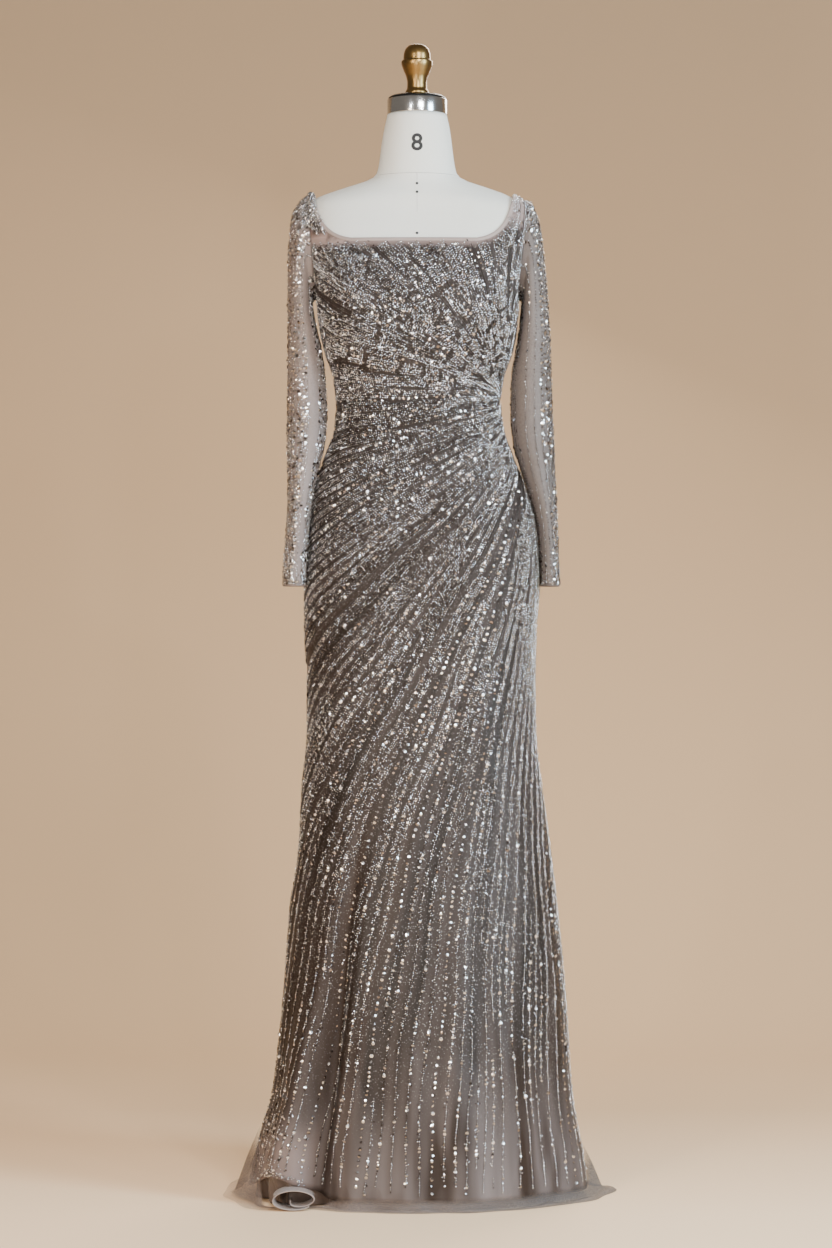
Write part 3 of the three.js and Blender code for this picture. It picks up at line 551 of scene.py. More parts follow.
def cut_along(bm, line):
    """Cuts the flat mesh along a line of points, only in the faces that the line crosses."""
    reach = 9.0
    for start, end in zip(line[:-1], line[1:]):
        low = np.minimum(start, end) - reach
        high = np.maximum(start, end) + reach
        near = []
        for face in bm.faces:
            middle = face.calc_center_median()
            if low[0] < middle.x < high[0] and low[1] < middle.y < high[1]:
                near.append(face)
        edges = list({edge for face in near for edge in face.edges})
        verts = list({vert for face in near for vert in face.verts})
        across = (end[1] - start[1], start[0] - end[0], 0)
        bmesh.ops.bisect_plane(bm, geom=near + edges + verts, dist=1e-5, plane_co=(*start, 0),
                               plane_no=across)


def sheet(name, materials, columns, rows, around, upward, place, flat, cuts=(), drop=None, closed=False):
    """A grid over two ranges, cut on the flat, then placed by a function of its two coordinates."""
    bm = bmesh.new()
    chart = bm.loops.layers.uv.new("cloth")
    bmesh.ops.create_grid(bm, x_segments=columns, y_segments=rows, size=0.5)
    for vert in bm.verts:
        vert.co.x = around[0] + (around[1] - around[0]) * (vert.co.x + 0.5)
        vert.co.y = upward[0] + (upward[1] - upward[0]) * (vert.co.y + 0.5)
    for line in cuts:
        cut_along(bm, line)
    if drop is not None:
        middles = np.array([f.calc_center_median()[:2] for f in bm.faces])
        gone = drop(middles[:, 0], middles[:, 1])
        bmesh.ops.delete(bm, geom=[f for f, g in zip(list(bm.faces), gone) if g], context="FACES")
    bm.verts.index_update()
    spots = np.array([v.co[:2] for v in bm.verts])
    charted = flat(spots[:, 0], spots[:, 1]) * MM
    for face in bm.faces:
        for loop in face.loops:
            loop[chart].uv = charted[loop.vert.index]
    points = place(spots[:, 0], spots[:, 1]) * MM
    for vert, point in zip(bm.verts, points):
        vert.co = point
    if closed:
        bmesh.ops.remove_doubles(bm, verts=bm.verts, dist=1e-5)
    bm.normal_update()
    return finish_piece(bm, name, materials)


def face_outwards(piece, centre):
    """Turns a whole sheet over if its faces look towards its centre line."""
    mesh = piece.data
    count = len(mesh.polygons)
    normals = np.zeros(count * 3)
    middles = np.zeros(count * 3)
    mesh.polygons.foreach_get("normal", normals)
    mesh.polygons.foreach_get("center", middles)
    away = middles.reshape(-1, 3) - np.asarray(centre)
    away[:, 2] = 0
    if (normals.reshape(-1, 3) * away).sum() < 0:
        mesh.flip_normals()
    return piece


# %% [markdown]
# ## Neckline and armholes
# The neckline is a flat scoop whose corners curve up to the straps. The armholes are ovals seen from
# the side. Both are drawn once, as curves in front or side view, and found on the cloth by bisection.

# %% The cut lines
NECK_LEFT = (-155.0, 1484.0)
NECK_RIGHT = (145.0, 1487.0)
NECK_POINTS = 19
NECK_FLAT = {0: (-97.0, 88.0, 1419.0), 180: (-92.0, 84.0, 1441.0)}  # left and right x, and height
CORNER_INSET, CORNER_RISE = 12.0, 6.0
ARM_Y, ARM_Z, ARM_HALF_DEPTH, ARM_HALF_HEIGHT = 4.0, 1407.5, 50.0, 68.0


def neck_curve(middle, side):
    """Points (x, z) from the flat part's end up to the strap, at the front (0) or the back (180)."""
    left, right, height = NECK_FLAT[middle]
    start = np.array([left if side < 0 else right, height])
    end = np.array(NECK_LEFT if side < 0 else NECK_RIGHT)
    control = np.array([end[0] - side * CORNER_INSET, height + CORNER_RISE])
    t = (1 - (1 - np.linspace(0, 1, NECK_POINTS)) ** 2)[:, None]
    return start * (1 - t) ** 2 + 2 * control * t * (1 - t) + end * t**2


def neck_height(x, middle):
    left, right = neck_curve(middle, -1), neck_curve(middle, 1)
    outline = np.vstack([left[::-1], right])
    return np.interp(x, outline[:, 0], outline[:, 1], left=9999, right=9999)


def opened(points, middle, neck_margin=0.0, arm_margin=0.0):
    """True where the neckline or an armhole, widened by a margin, takes the cloth away."""
    x, y, z = points[..., 0], points[..., 1], points[..., 2]
    scoop = z > neck_height(x, middle) - neck_margin
    across = (y - ARM_Y) / (ARM_HALF_DEPTH + arm_margin)
    up = (z - ARM_Z) / (ARM_HALF_HEIGHT + arm_margin)
    return scoop | ((across**2 + up**2 < 1) & (np.abs(x) > 100))


def seam_angle(side, middle):
    """A side seam's angle, on the stretch of angles that runs through the middle."""
    if middle == 0:
        return side * 90.0
    return 270.0 if side < 0 else 90.0


def neck_line(middle):
    """The neckline on the cloth as (angle, z), for an angle range that runs through the middle."""
    lines = []
    for side in (-1, 1):
        curve = neck_curve(middle, side)
        near, far = np.full(NECK_POINTS, float(middle)), np.full(NECK_POINTS, seam_angle(side, middle))
        found = angle_where(0, curve[:, 0], curve[:, 1], near, far)
        lines.append(np.column_stack([found, curve[:, 1]]))
    left, right = lines
    flat = np.array([left[0], right[0]])
    return [left, right, flat]


def armhole_line(side, middle):
    """Half of an armhole on the cloth as (angle, z), from its top down to its foot."""
    turn = np.radians(np.linspace(0, 180, 25))
    forward = -1 if middle == 0 else 1
    y = ARM_Y + forward * ARM_HALF_DEPTH * np.sin(turn)
    z = ARM_Z + ARM_HALF_HEIGHT * np.cos(turn)
    keep = y * forward > 0.2
    y, z = y[keep], z[keep]
    seam = seam_angle(side, middle)
    near_middle = middle + 5.0 * np.sign(seam - middle)
    found = angle_where(1, y, z, np.full(len(y), seam), np.full(len(y), near_middle))
    return np.column_stack([found, z])


# %% [markdown]
# ## Lines of the embroidery
# The beads are sewn along lines that sweep from the right of the waist: up over the bodice, and
# down across the skirt, where they turn towards the vertical. Each half of the gown is laid flat to
# draw them. The cloth between them is drawn in along the same lines, in bumps with painted shade in
# the folds, and thin dark strips of painted shadow lie beside them.

# %% A panel laid flat
def looked_up(table, row, place):
    """A table's value at rows and places that lie between its cells."""
    i, j = row.astype(int), place.astype(int)
    u, v = row - i, place - j
    low = table[i, j] * (1 - v) + table[i, j + 1] * v
    high = table[i + 1, j] * (1 - v) + table[i + 1, j + 1] * v
    return low * (1 - u) + high * u


class LaidFlat:
    """Half of the gown unrolled: s millimetres round from its middle line, plus towards +X, against z."""

    ROW = 5.0
    SHARES = 240

    def __init__(self, middle):
        self.middle = middle
        self.sign = 1 if middle == 0 else -1
        self.heights = np.arange(0, TOP_Z + self.ROW, self.ROW)
        turns = np.linspace(-90, 90, 181)
        ring = surface(middle + self.sign * turns[None], self.heights[:, None])
        steps = np.linalg.norm(np.diff(ring, axis=1), axis=2)
        run = np.concatenate([np.zeros((len(steps), 1)), np.cumsum(steps, axis=1)], axis=1)
        run -= run[:, 90:91]
        self.run = run
        self.limit = np.stack([-run[:, 0], run[:, -1]], 1)
        shares = np.linspace(-1, 1, self.SHARES + 1)
        self.turns = np.zeros((len(run), len(shares)))
        for row, (line, ends) in enumerate(zip(run, self.limit)):
            reach = np.where(shares < 0, ends[0], ends[1])
            self.turns[row] = np.interp(shares * reach, line, turns)

    def reach(self, s, z):
        """Half the panel's girth on that side."""
        left = np.interp(z, self.heights, self.limit[:, 0])
        right = np.interp(z, self.heights, self.limit[:, 1])
        return np.where(s < 0, left, right)

    def across(self, angle, z):
        """How far round a place lies, from its angle."""
        row = np.clip(z / self.ROW, 0, len(self.heights) - 1.001)
        place = np.clip(self.sign * turn_between(angle, self.middle) + 90, 0, 179.999)
        return looked_up(self.run, row, place)

    def angle(self, s, z):
        row = np.clip(z / self.ROW, 0, len(self.heights) - 1.001)
        place = np.clip((s / self.reach(s, z) + 1) * (self.SHARES / 2), 0, self.SHARES - 0.001)
        return self.middle + self.sign * looked_up(self.turns, row, place)


front_flat = LaidFlat(0)
back_flat = LaidFlat(180)
print("half girth at the hip", front_flat.reach(np.array([-1.0, 1.0]), np.array([950.0, 950.0])).round())

# %% Direction and distance of the lines
WAIST_Z = 1178.0
BODICE_POINT = (152.0, 1188.0)
SKIRT_POINT = (232.0, 1192.0)
SETTLE_HIGH, SETTLE_LOW = 650.0, 330.0  # where the sweep turns into lines that hang with the flare
SPACING_AT_Z = ([22, 120, 300, 480, 620, 760, 900, 1060, 1178, 1300, 1500],
                [16.5, 14.5, 12.2, 10.8, 10, 9.6, 9.2, 8.4, 6.9, 8.0, 8.6])
SPREAD_PER_MM = ([22, 150, 330, 510, 690], [0.0002, 0.00075, 0.00095, 0.0009, 0.0003])
DRIFT = ([22, 130, 300, 520], [-0.02, -0.07, -0.13, -0.16])  # how far the hanging lines still lean


def direction(s, z):
    """A unit step along the bead lines, at places on the flat panel."""
    wave = 0.05 * np.sin(s * 0.031 + z * 0.017) + 0.03 * np.sin(s * 0.08 - z * 0.045)
    upper = z > WAIST_Z
    across = np.where(upper, BODICE_POINT[0] - s, s - SKIRT_POINT[0])
    up = np.where(upper, BODICE_POINT[1] - z, z - SKIRT_POINT[1])
    length = np.hypot(across, up) + 1e-6
    settle = ease((SETTLE_HIGH - z) / (SETTLE_HIGH - SETTLE_LOW))
    hang = s * np.interp(z, *SPREAD_PER_MM) + np.interp(z, *DRIFT)
    across = across / length * (1 - settle) + hang * settle
    up = up / length * (1 - settle) - settle
    length = np.hypot(across, up) + 1e-6
    cos, sin = np.cos(wave), np.sin(wave)
    return (across * cos - up * sin) / length, (across * sin + up * cos) / length


def stream(s, z):
    """A number that stays the same along a bead line: its bearing from the point where it began."""
    s, z = [np.array(a, float) for a in np.broadcast_arrays(s, z)]
    bodice = z > WAIST_Z
    for _ in range(170):
        low = z < SETTLE_HIGH
        if not low.any():
            break
        across, up = direction(s[low], z[low])
        s[low] -= across * 4.0
        z[low] -= up * 4.0
    upper = np.arctan2(z - BODICE_POINT[1], BODICE_POINT[0] - s)
    return np.where(bodice, upper, np.arctan2(SKIRT_POINT[1] - z, SKIRT_POINT[0] - s))


def streak(along, z):
    """Light and dark bands that follow the lines, 0 to 1, for cloth and beads alike."""
    slow = np.sin(along * 23 + 1.3 * np.sin(z * 0.006) + 0.4)
    middling = np.sin(along * 57 + 1.1 * np.sin(z * 0.009 + 1) + 2.1)
    quick = np.sin(along * 131 + 0.9 * np.sin(z * 0.012) + 0.7)
    fine = np.sin(along * 292 + 0.8 * np.sin(z * 0.015 + 2))
    return np.clip(0.5 + 0.11 * slow + 0.16 * middling + 0.20 * quick + 0.17 * fine, 0, 1)


# %% [markdown]
# ## Front and back of the gown
# Three panels: a front, and two backs that meet at the zip. Each is a single sheet of 1.4 mm, the net
# outside and the satin inside, which shows under the hem.

# %% Gown panels
WALL = 1.4
SEAM_HALF = 0.15  # half the gap between two panels


def girth_flat(middle):
    """The flat chart: how far round from the middle line, and how high."""
    def chart(angle, z):
        radius = np.linalg.norm(surface(angle, z)[..., :2], axis=-1)
        return np.column_stack([np.radians(angle - middle) * radius, z])
    return chart


# A plain sliver of net under the left strap, then where the right strap and the turned-up corner start.
WEDGE_ROOT_X, WEDGE_Z, WEDGE_HALF, WEDGE_LENGTH = -164.0, 1423.0, 11.0, 62.0
STRAP_X, STRAP_Z = 112.0, 1430.0
FLAP_ANGLE = -43.0
HOLLOW_ANGLE, HOLLOW_WIDTH, HOLLOW_TOP_Z = -41.0, 3.4, 640.0


def wedge(x, z):
    """1 on the plain sliver and 0 around it."""
    along = (x - WEDGE_ROOT_X) / WEDGE_LENGTH
    half = WEDGE_HALF * (1 - along)
    inside = ease((half - np.abs(z - WEDGE_Z + 12 * along)) / 4 + 0.5)
    return inside * (along > -0.2) * (along < 1)


def bare_share(point, middle):
    """Where the net shows plain: under the binding, on the right strap and on the sliver."""
    x, z = point[..., 0], point[..., 2]
    band = 0.75 * ease(1.2 - (neck_height(x, middle) - z) / 13) * (neck_height(x, middle) < 9000)
    strap = 0.9 * ease((x - STRAP_X) / 14) * ease((z - STRAP_Z) / 22)
    share = np.maximum(band, strap)
    return np.maximum(share, wedge(x, z)) if middle == 0 else share


def fold_shade_share(angle, z):
    """Painted shade: where the deep fold at the front corner keeps the light out, and fainter beyond it,
    round towards the left side.
    """
    fold = 0.9 * bump(angle, HOLLOW_ANGLE, HOLLOW_WIDTH) * ease((HOLLOW_TOP_Z - z) / 400)
    beyond = 0.35 * ease((HOLLOW_ANGLE - 3 - turn_between(angle, 0)) / 4)
    beyond = beyond * ease((560 - z) / 250) * ease((angle + 100) / 15) * ease((z - 60) / 110)
    return np.clip(fold + beyond, 0, 0.92) * (angle < 90)


def flap_share(angle, z):
    """Where the turned-up corner shows plain net, lighter and browner than the skirt."""
    return 0.36 * ease((FLAP_ANGLE - angle) / 4) * ease((angle + 90) / 9) * ease((140 - z) / 90)


def gown_panel(name, middle, first, last, cuts):
    half = front_flat if middle == 0 else back_flat
    notes = {}

    def drop(angle, z):
        return opened(surface(angle, z), middle)

    def on_gown(angle, z):
        notes["stream"] = stream(half.across(angle, z), z)
        notes["streak"] = streak(notes["stream"], z)
        notes["bare"] = np.maximum(bare_share(surface(angle, z), middle), flap_share(angle, z))
        notes["hollow"] = fold_shade_share(angle, z)
        return on_cloth(angle, z)[0]
    columns = round((last - first) / 2)
    piece = sheet(name, [NET, LINING], columns, 160, (first, last), (HEM_Z, TOP_Z - 4),
                  on_gown, girth_flat(middle), cuts, drop)
    for label, values in notes.items():
        piece.data.attributes.new(label, "FLOAT", "POINT").data.foreach_set("value", values)
    face_outwards(piece, (0, 0, 0))
    thicken(piece, WALL, lining=True)
    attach(piece, GOWN)
    return piece


front_cuts = neck_line(0) + [armhole_line(-1, 0), armhole_line(1, 0)]
back_cuts = neck_line(180)
gown_front = gown_panel("gown_front_cloth", 0, -89.9, 89.9, front_cuts)
gown_back_right = gown_panel("gown_back_right_cloth", 180, 90.1, 179.9,
                             [back_cuts[1], back_cuts[2], armhole_line(1, 180)])
gown_back_left = gown_panel("gown_back_left_cloth", 180, 180.1, 269.9,
                            [back_cuts[0], back_cuts[2], armhole_line(-1, 180)])
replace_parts(gown_front, "gown_front")
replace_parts(gown_back_left, "gown_back_left")
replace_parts(gown_back_right, "gown_back_right")
print("front faces", len(gown_front.data.polygons))

# %% [markdown]
# ## Sleeves
# A set-in sleeve of single net, empty, hanging close to the body. Each ring of its table is an oval
# between the edge next to the body and the outer edge. The first ring is the armhole itself.

# %% Sleeve tables
SLEEVE_ROWS = {  # ring, inner x, inner z, outer x, outer z, half depth, y of its middle
    -1: [
        (1, -158.5, 1333, -173.5, 1484, 54, 4), (2, -156.5, 1318, -187, 1460, 56, 4),
        (3, -152.5, 1296, -193, 1388, 55, 3), (4, -144.5, 1262, -193, 1310, 53, 2),
        (5, -138, 1215, -193.5, 1230, 50, 0), (6, -135.5, 1165, -193.5, 1165, 47, -3),
        (7, -138, 1125, -193.5, 1125, 46, -10), (8, -146, 1085, -192.5, 1085, 44, -18),
        (9, -156, 1035, -192, 1035, 43, -26), (10, -161.5, 985, -194.5, 985, 41, -32),
        (11, -164.5, 940, -198, 940, 39, -37), (12, -166, 905, -199, 905, 38, -40),
    ],
    1: [
        (1, 158.5, 1333, 171, 1481, 54, 4), (2, 157, 1318, 183, 1448, 56, 4),
        (3, 154.5, 1296, 191, 1385, 55, 5), (4, 149.5, 1262, 197, 1310, 53, 6),
        (5, 142, 1215, 201, 1230, 50, 7), (6, 141, 1165, 202.5, 1165, 47, 8),
        (7, 144, 1125, 204.5, 1125, 46, 4), (8, 154, 1085, 206, 1085, 44, 0),
        (9, 170, 1035, 208, 1035, 43, -4), (10, 180.5, 985, 210, 985, 41, -6),
        (11, 184, 940, 211.5, 940, 39, -8), (12, 185, 905, 213, 905, 38, -8),
    ],
}
SLEEVE_CREASES = [  # turn, ring, lean, length, width, rise: rings and half depths as in the table
    (-110, 3.4, 30, 30, 4, 1.6), (-60, 4.2, -24, 34, 4, 1.5), (-120, 5.3, 18, 26, 4, 1.6),
    (-75, 5.9, -14, 30, 4, 1.8), (-40, 6.5, 12, 28, 4, 1.6), (-130, 7.0, -20, 28, 4, 1.5),
    (-80, 7.8, 16, 26, 4, 1.4), (-50, 9.1, -18, 24, 4, 1.2), (-110, 10.2, 14, 24, 4, 1.2),
    (70, 4.0, 26, 34, 4, 1.6), (110, 5.6, -18, 30, 4, 1.8), (80, 6.8, 14, 30, 4, 1.6),
    (120, 8.2, -16, 26, 4, 1.4), (60, 9.8, 16, 24, 4, 1.2),
]
RING_STEP = 42.0  # mean millimetres from ring to ring
SLEEVE_RADIUS = 42.0
sleeve_at = {side: SmoothTable(rows) for side, rows in SLEEVE_ROWS.items()}


def armhole_seam(side, turn):
    """The sleeve's first ring, on the body just outside the armhole."""
    y = ARM_Y + (ARM_HALF_DEPTH + 1) * np.sin(turn)
    z = ARM_Z + (ARM_HALF_HEIGHT + 1) * np.cos(turn)
    middle = np.where(y < 0, side * 5.0, side * 175.0)
    angle = angle_where(1, y, z, np.full(y.shape, side * 90.0), middle)
    x = surface(angle, z)[..., 0] + side * 0.8
    return np.stack([x, y, z + shoulder_rise(x, z)], -1)


def sleeve_surface(side, turn, ring, creased=True):
    """Points of a sleeve: turn in degrees, 0 outside and -90 in front, and ring from 0 to 12."""
    turn, ring = np.broadcast_arrays(np.asarray(turn, float), np.asarray(ring, float))
    inner_x, inner_z, outer_x, outer_z, depth, mid_y = sleeve_at[side](np.maximum(ring, 1))
    cos, sin = np.cos(np.radians(turn)), np.sin(np.radians(turn))
    swell = np.zeros_like(ring)
    if creased:
        for middle, height, lean, length, width, out in SLEEVE_CREASES:
            sideways = np.radians(turn_between(turn, middle)) * SLEEVE_RADIUS
            down = (ring - height) * RING_STEP
            swell = swell + out * ridge(sideways, down, lean, length, width)
    x = (outer_x + inner_x) / 2 + (outer_x - inner_x) / 2 * cos + side * swell * np.maximum(cos, 0)
    y = mid_y + (depth + swell) * sin
    z = (outer_z + inner_z) / 2 + (outer_z - inner_z) / 2 * cos
    rings = np.stack([x, y, z], -1)
    share = np.clip(ring, 0, 1)[..., None]
    if not (ring < 1).any():
        return rings
    seam = armhole_seam(side, np.radians(turn))
    return seam * (1 - share) + rings * share


def off_sleeve(side, turn, ring, out=0.0):
    along = sleeve_surface(side, turn + 1, ring) - sleeve_surface(side, turn - 1, ring)
    down = sleeve_surface(side, turn, np.minimum(ring + 0.05, 12)) \
        - sleeve_surface(side, turn, np.maximum(ring - 0.05, 0))
    normal = unit(np.cross(down, along) * side)
    point = sleeve_surface(side, turn, ring)
    return point + np.asarray(out, float)[..., None] * normal, normal


# %% Sleeves
def sleeve_flat(turn, ring):
    return np.column_stack([np.radians(turn) * SLEEVE_RADIUS, -ring * RING_STEP])


def sleeve_piece(name, side):
    def place(turn, ring):
        return sleeve_surface(side, turn, ring)
    piece = sheet(name, [SLEEVE_NET], 48, 72, (-180, 180), (0, 12), place, sleeve_flat, closed=True)
    face_outwards(piece, (side * 0.17, 0, 0))
    thicken(piece, 0.8)
    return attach(piece, GOWN)


sleeve_left = sleeve_piece("sleeve_left_net", -1)
sleeve_right = sleeve_piece("sleeve_right_net", 1)
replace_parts(sleeve_left, "sleeve_left")
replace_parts(sleeve_right, "sleeve_right")
print("sleeve faces", len(sleeve_left.data.polygons))

# %% [markdown]
# ## Neck binding
# A narrow satin bias strip is folded over the neckline's cut edge. It could be a curve with a bevel,
# but a sheet that follows the edge keeps its flat look: its rows across give it a soft roll.

# %% Binding
BINDING_WIDTH = 5.5
BINDING_LIFT = 0.5


def neckline_edge():
    """The neckline on the cloth, closed, from the centre front round by the left."""
    front_left, front_right, _ = neck_line(0)
    back_left, back_right, _ = neck_line(180)
    flat = np.linspace(0, 1, 12)[:-1, None]
    def level(middle, end):
        start = np.array([float(middle), end[1]])
        return start * (1 - flat) + end * flat
    parts = [level(0, front_left[0]), front_left, back_left[::-1][1:] - [360, 0],
             (level(180, back_left[0]) - [360, 0])[::-1][:-1],
             level(180, back_right[0]) - [360, 0], back_right - [360, 0],
             front_right[::-1][1:] - [360, 0], level(0, front_right[0])[::-1] - [360, 0]]
    return np.vstack(parts)


def binding_place(station, across):
    edge = neckline_edge()
    points, normals = on_cloth(edge[:, 0], edge[:, 1])
    ahead = np.roll(points, -1, axis=0) - np.roll(points, 1, axis=0)
    ahead[0] = ahead[-1] = points[1] - points[-2]
    down = unit(np.cross(ahead, normals))
    inward = (down * (points - [0, 0, 1612])).sum(axis=1) < 0
    down[inward] *= -1
    where = np.clip(station, 0, len(edge) - 1)
    def between(rows):
        return np.column_stack([np.interp(where, np.arange(len(edge)), rows[:, k]) for k in range(3)])
    roll = BINDING_LIFT + 0.45 * np.sin(np.pi * np.clip(across, 0, 1))
    roll = np.where(across < 0, -1.0, roll)
    width = BINDING_WIDTH * np.clip(across, -0.06, 1)
    return between(points) + between(down) * width[:, None] + between(normals) * roll[:, None]


def binding_flat(station, across):
    return np.column_stack([station * 9.0, across * BINDING_WIDTH])


stations = len(neckline_edge()) - 1
binding = sheet("neckline_binding", [BINDING], 2 * stations, 8, (0, stations), (-0.14, 1.0),
                binding_place, binding_flat, closed=True)
face_outwards(binding, (0, 0, 0))
thicken(binding, 0.5)
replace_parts(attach(binding, GOWN), "neck_binding")
print("binding stations", stations)

# %% [markdown]
# ## Free edge of the net, and the rolled lining
# Below the satin hem the outer net runs down to the floor and spreads on it in soft lobes. It is a
# sheet whose second coordinate runs from the hem, down and out. At the front corner the lining has
# curled over into a roll: an open loop seen from the front.

# %% Net hem
NET_OUT = 8.0
NET_LOBES = [  # angle, width, out
    (-84, 26, 22), (-112, 17, 14), (-52, 11, 14), (92, 7, 30), (66, 15, 12), (180, 52, 40),
]
NET_RIPPLES = 22
NET_LAID_ANGLE, NET_LAID_WIDTH = -50, 9
NET_WINGS = [  # where the net leaves the skirt higher up: angle, width, height, share of the way out
    (-84, 11, 104, 0.6), (-104, 7, 50, 0.4), (92, 7, 66, 0.6),
]


def net_place(angle, run):
    """run 0 is above the hem, 1 the hem, 2 the floor, and 3 the outer edge."""
    laid = np.minimum(1, 1.6 * bump(angle, NET_LAID_ANGLE, NET_LAID_WIDTH))
    spread = NET_OUT + sum(out * bump(angle, middle, width) for middle, width, out in NET_LOBES)
    ripple = np.sin(np.radians(angle) * NET_RIPPLES + 2.5 * np.sin(np.radians(angle) * 7))
    wander = np.sin(np.radians(angle) * 17 + 1.3 * np.sin(np.radians(angle) * 5))
    hem = HEM_Z + lift_at(angle)
    wing = sum(bump(angle, middle, width) for middle, width, _, _ in NET_WINGS)
    wing_top = sum(top * bump(angle, middle, width) for middle, width, top, _ in NET_WINGS)
    wing_out = sum(far * bump(angle, middle, width) for middle, width, _, far in NET_WINGS)
    start, _ = off_surface(angle, hem + 12 + wing_top, 1.1)
    edge, _ = off_surface(angle, hem, 1.1)
    foot = surface(angle, np.full_like(angle, HEM_Z))
    radius = np.linalg.norm(foot[..., :2], axis=-1)
    away = np.stack([foot[..., 0] / radius, foot[..., 1] / radius, np.zeros_like(radius)], -1)
    def floor(out, height):
        place = away * (radius + out)[..., None]
        place[..., 2] = height
        return place
    turned = spread * (0.35 + 0.4 * wing_out) + 1.2 * ripple
    turn_down = floor(turned, 1.0 + 0.5 * ripple)
    lie_out = np.clip(run - 2, 0, 1)
    wave = (1.4 + 0.8 * ripple + 1.6 * (wander + 1)) * np.sin(np.pi * lie_out) ** 0.7
    out_at = turned + (spread + 1.5 * wander - turned) * lie_out
    flat_part = floor(out_at, 0.9 + 0.5 * (1 + ripple) * (1 - lie_out) + wave)
    laid_at = floor(np.full_like(radius, 3.0), 0.9)
    share = np.clip(run, 0, 1)[..., None]
    slack = start * 0.45 + turn_down * 0.55 + away * (2.0 * ripple)[..., None]
    middle = edge * (1 - np.minimum(wing, 1)[..., None]) + slack * np.minimum(wing, 1)[..., None]
    hung = start * (1 - share) + middle * share
    upper = hung * (1 - laid[..., None]) + laid_at * laid[..., None]
    hanging = np.clip(run - 1, 0, 1)[..., None]
    curtain = upper * (1 - hanging) + turn_down * hanging
    return np.where((run > 2)[..., None], flat_part, curtain)


def net_flat(angle, run):
    """Charted as one even strip, also where a wing hangs higher."""
    return np.column_stack([np.radians(angle) * 240, run * 22.0])


net_hem = sheet("net_hem_edge", [HEM_NET], 300, 14, (-180, 180), (0, 3), net_place, net_flat, closed=True)
face_outwards(net_hem, (0, 0, 0))
thicken(net_hem, 0.5)
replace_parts(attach(net_hem, GOWN), "net_hem")

# %% Rolled lining
ROLL_X, ROLL_Y, ROLL_LENGTH, ROLL_HALF_WIDTH, ROLL_HALF_HEIGHT = -178, -148, 52, 32, 15


def roll_place(turn, depth):
    """turn 0 to 1 goes round the loop, which tightens towards its end."""
    bend = np.radians(-40 - 520 * turn)
    size = 1 - 0.62 * ease((turn - 0.42) / 0.58)
    flutter = 1 + 0.06 * np.sin(depth * 0.11 + turn * 5) + 0.05 * np.sin(turn * 13)
    x = ROLL_X + (ROLL_HALF_WIDTH - 2) * size * flutter * np.cos(bend) + 9 * (1 - size)
    z = ROLL_HALF_HEIGHT * (1 - 0.35 * (1 - size)) + 1.0 + (ROLL_HALF_HEIGHT - 1.2) * size * np.sin(bend)
    y = ROLL_Y - depth * (0.92 + 0.08 * np.sin(turn * 6))
    return np.stack([x, y, np.maximum(z, 0.9)], -1)


def roll_flat(turn, depth):
    return np.column_stack([turn * 150, depth])


lining_roll = sheet("lining_roll_satin", [LINING], 96, 10, (0, 1), (0, ROLL_LENGTH), roll_place, roll_flat)
roll_wall = thicken(lining_roll, 1.2).modifiers["wall"]
roll_wall.offset = 0
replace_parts(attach(lining_roll, GOWN), "lining_roll")


# %% Lining behind the roll
DRAPE_FIRST, DRAPE_LAST = -76.0, -28.0


def drape_place(angle, fall):
    """The lining hangs from inside the lifted corner to the floor in loose ruffles."""
    hem = HEM_Z + lift_at(angle)
    top, _ = off_surface(angle, hem + 9, -3.5)
    share = fall[..., None]
    radius = np.linalg.norm(top[..., :2], axis=-1, keepdims=True)
    away = np.concatenate([top[..., :2] / radius, np.zeros_like(radius)], -1)
    ruffle = 5.0 * np.sin(np.radians(angle) * 30 + fall * 2.2) + 2.6 * np.sin(np.radians(angle) * 71)
    point = top + away * ((ruffle - 2) * np.sin(fall * 1.7))[..., None] - away * 6 * share
    point[..., 2] = top[..., 2] * (1 - fall) ** 0.9 + 1.2
    return point


def drape_flat(angle, fall):
    return np.column_stack([np.radians(angle) * 235, -fall * 48.0])


lining_drape = sheet("lining_drape_satin", [SHADED_LINING], 80, 18, (DRAPE_FIRST, DRAPE_LAST), (0, 1),
                     drape_place, drape_flat)
face_outwards(lining_drape, (0, 0, 0))
thicken(lining_drape, 0.8)
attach(lining_drape, GOWN)
print("net and roll", len(net_hem.data.polygons), len(lining_roll.data.polygons))

# %% [markdown]
# ## Bead embroidery
# Lines drawn one by one would bunch up, so they are grown over the flat panel at an even distance: a
# new line starts beside an old one, follows the direction field and stops when it comes too close.

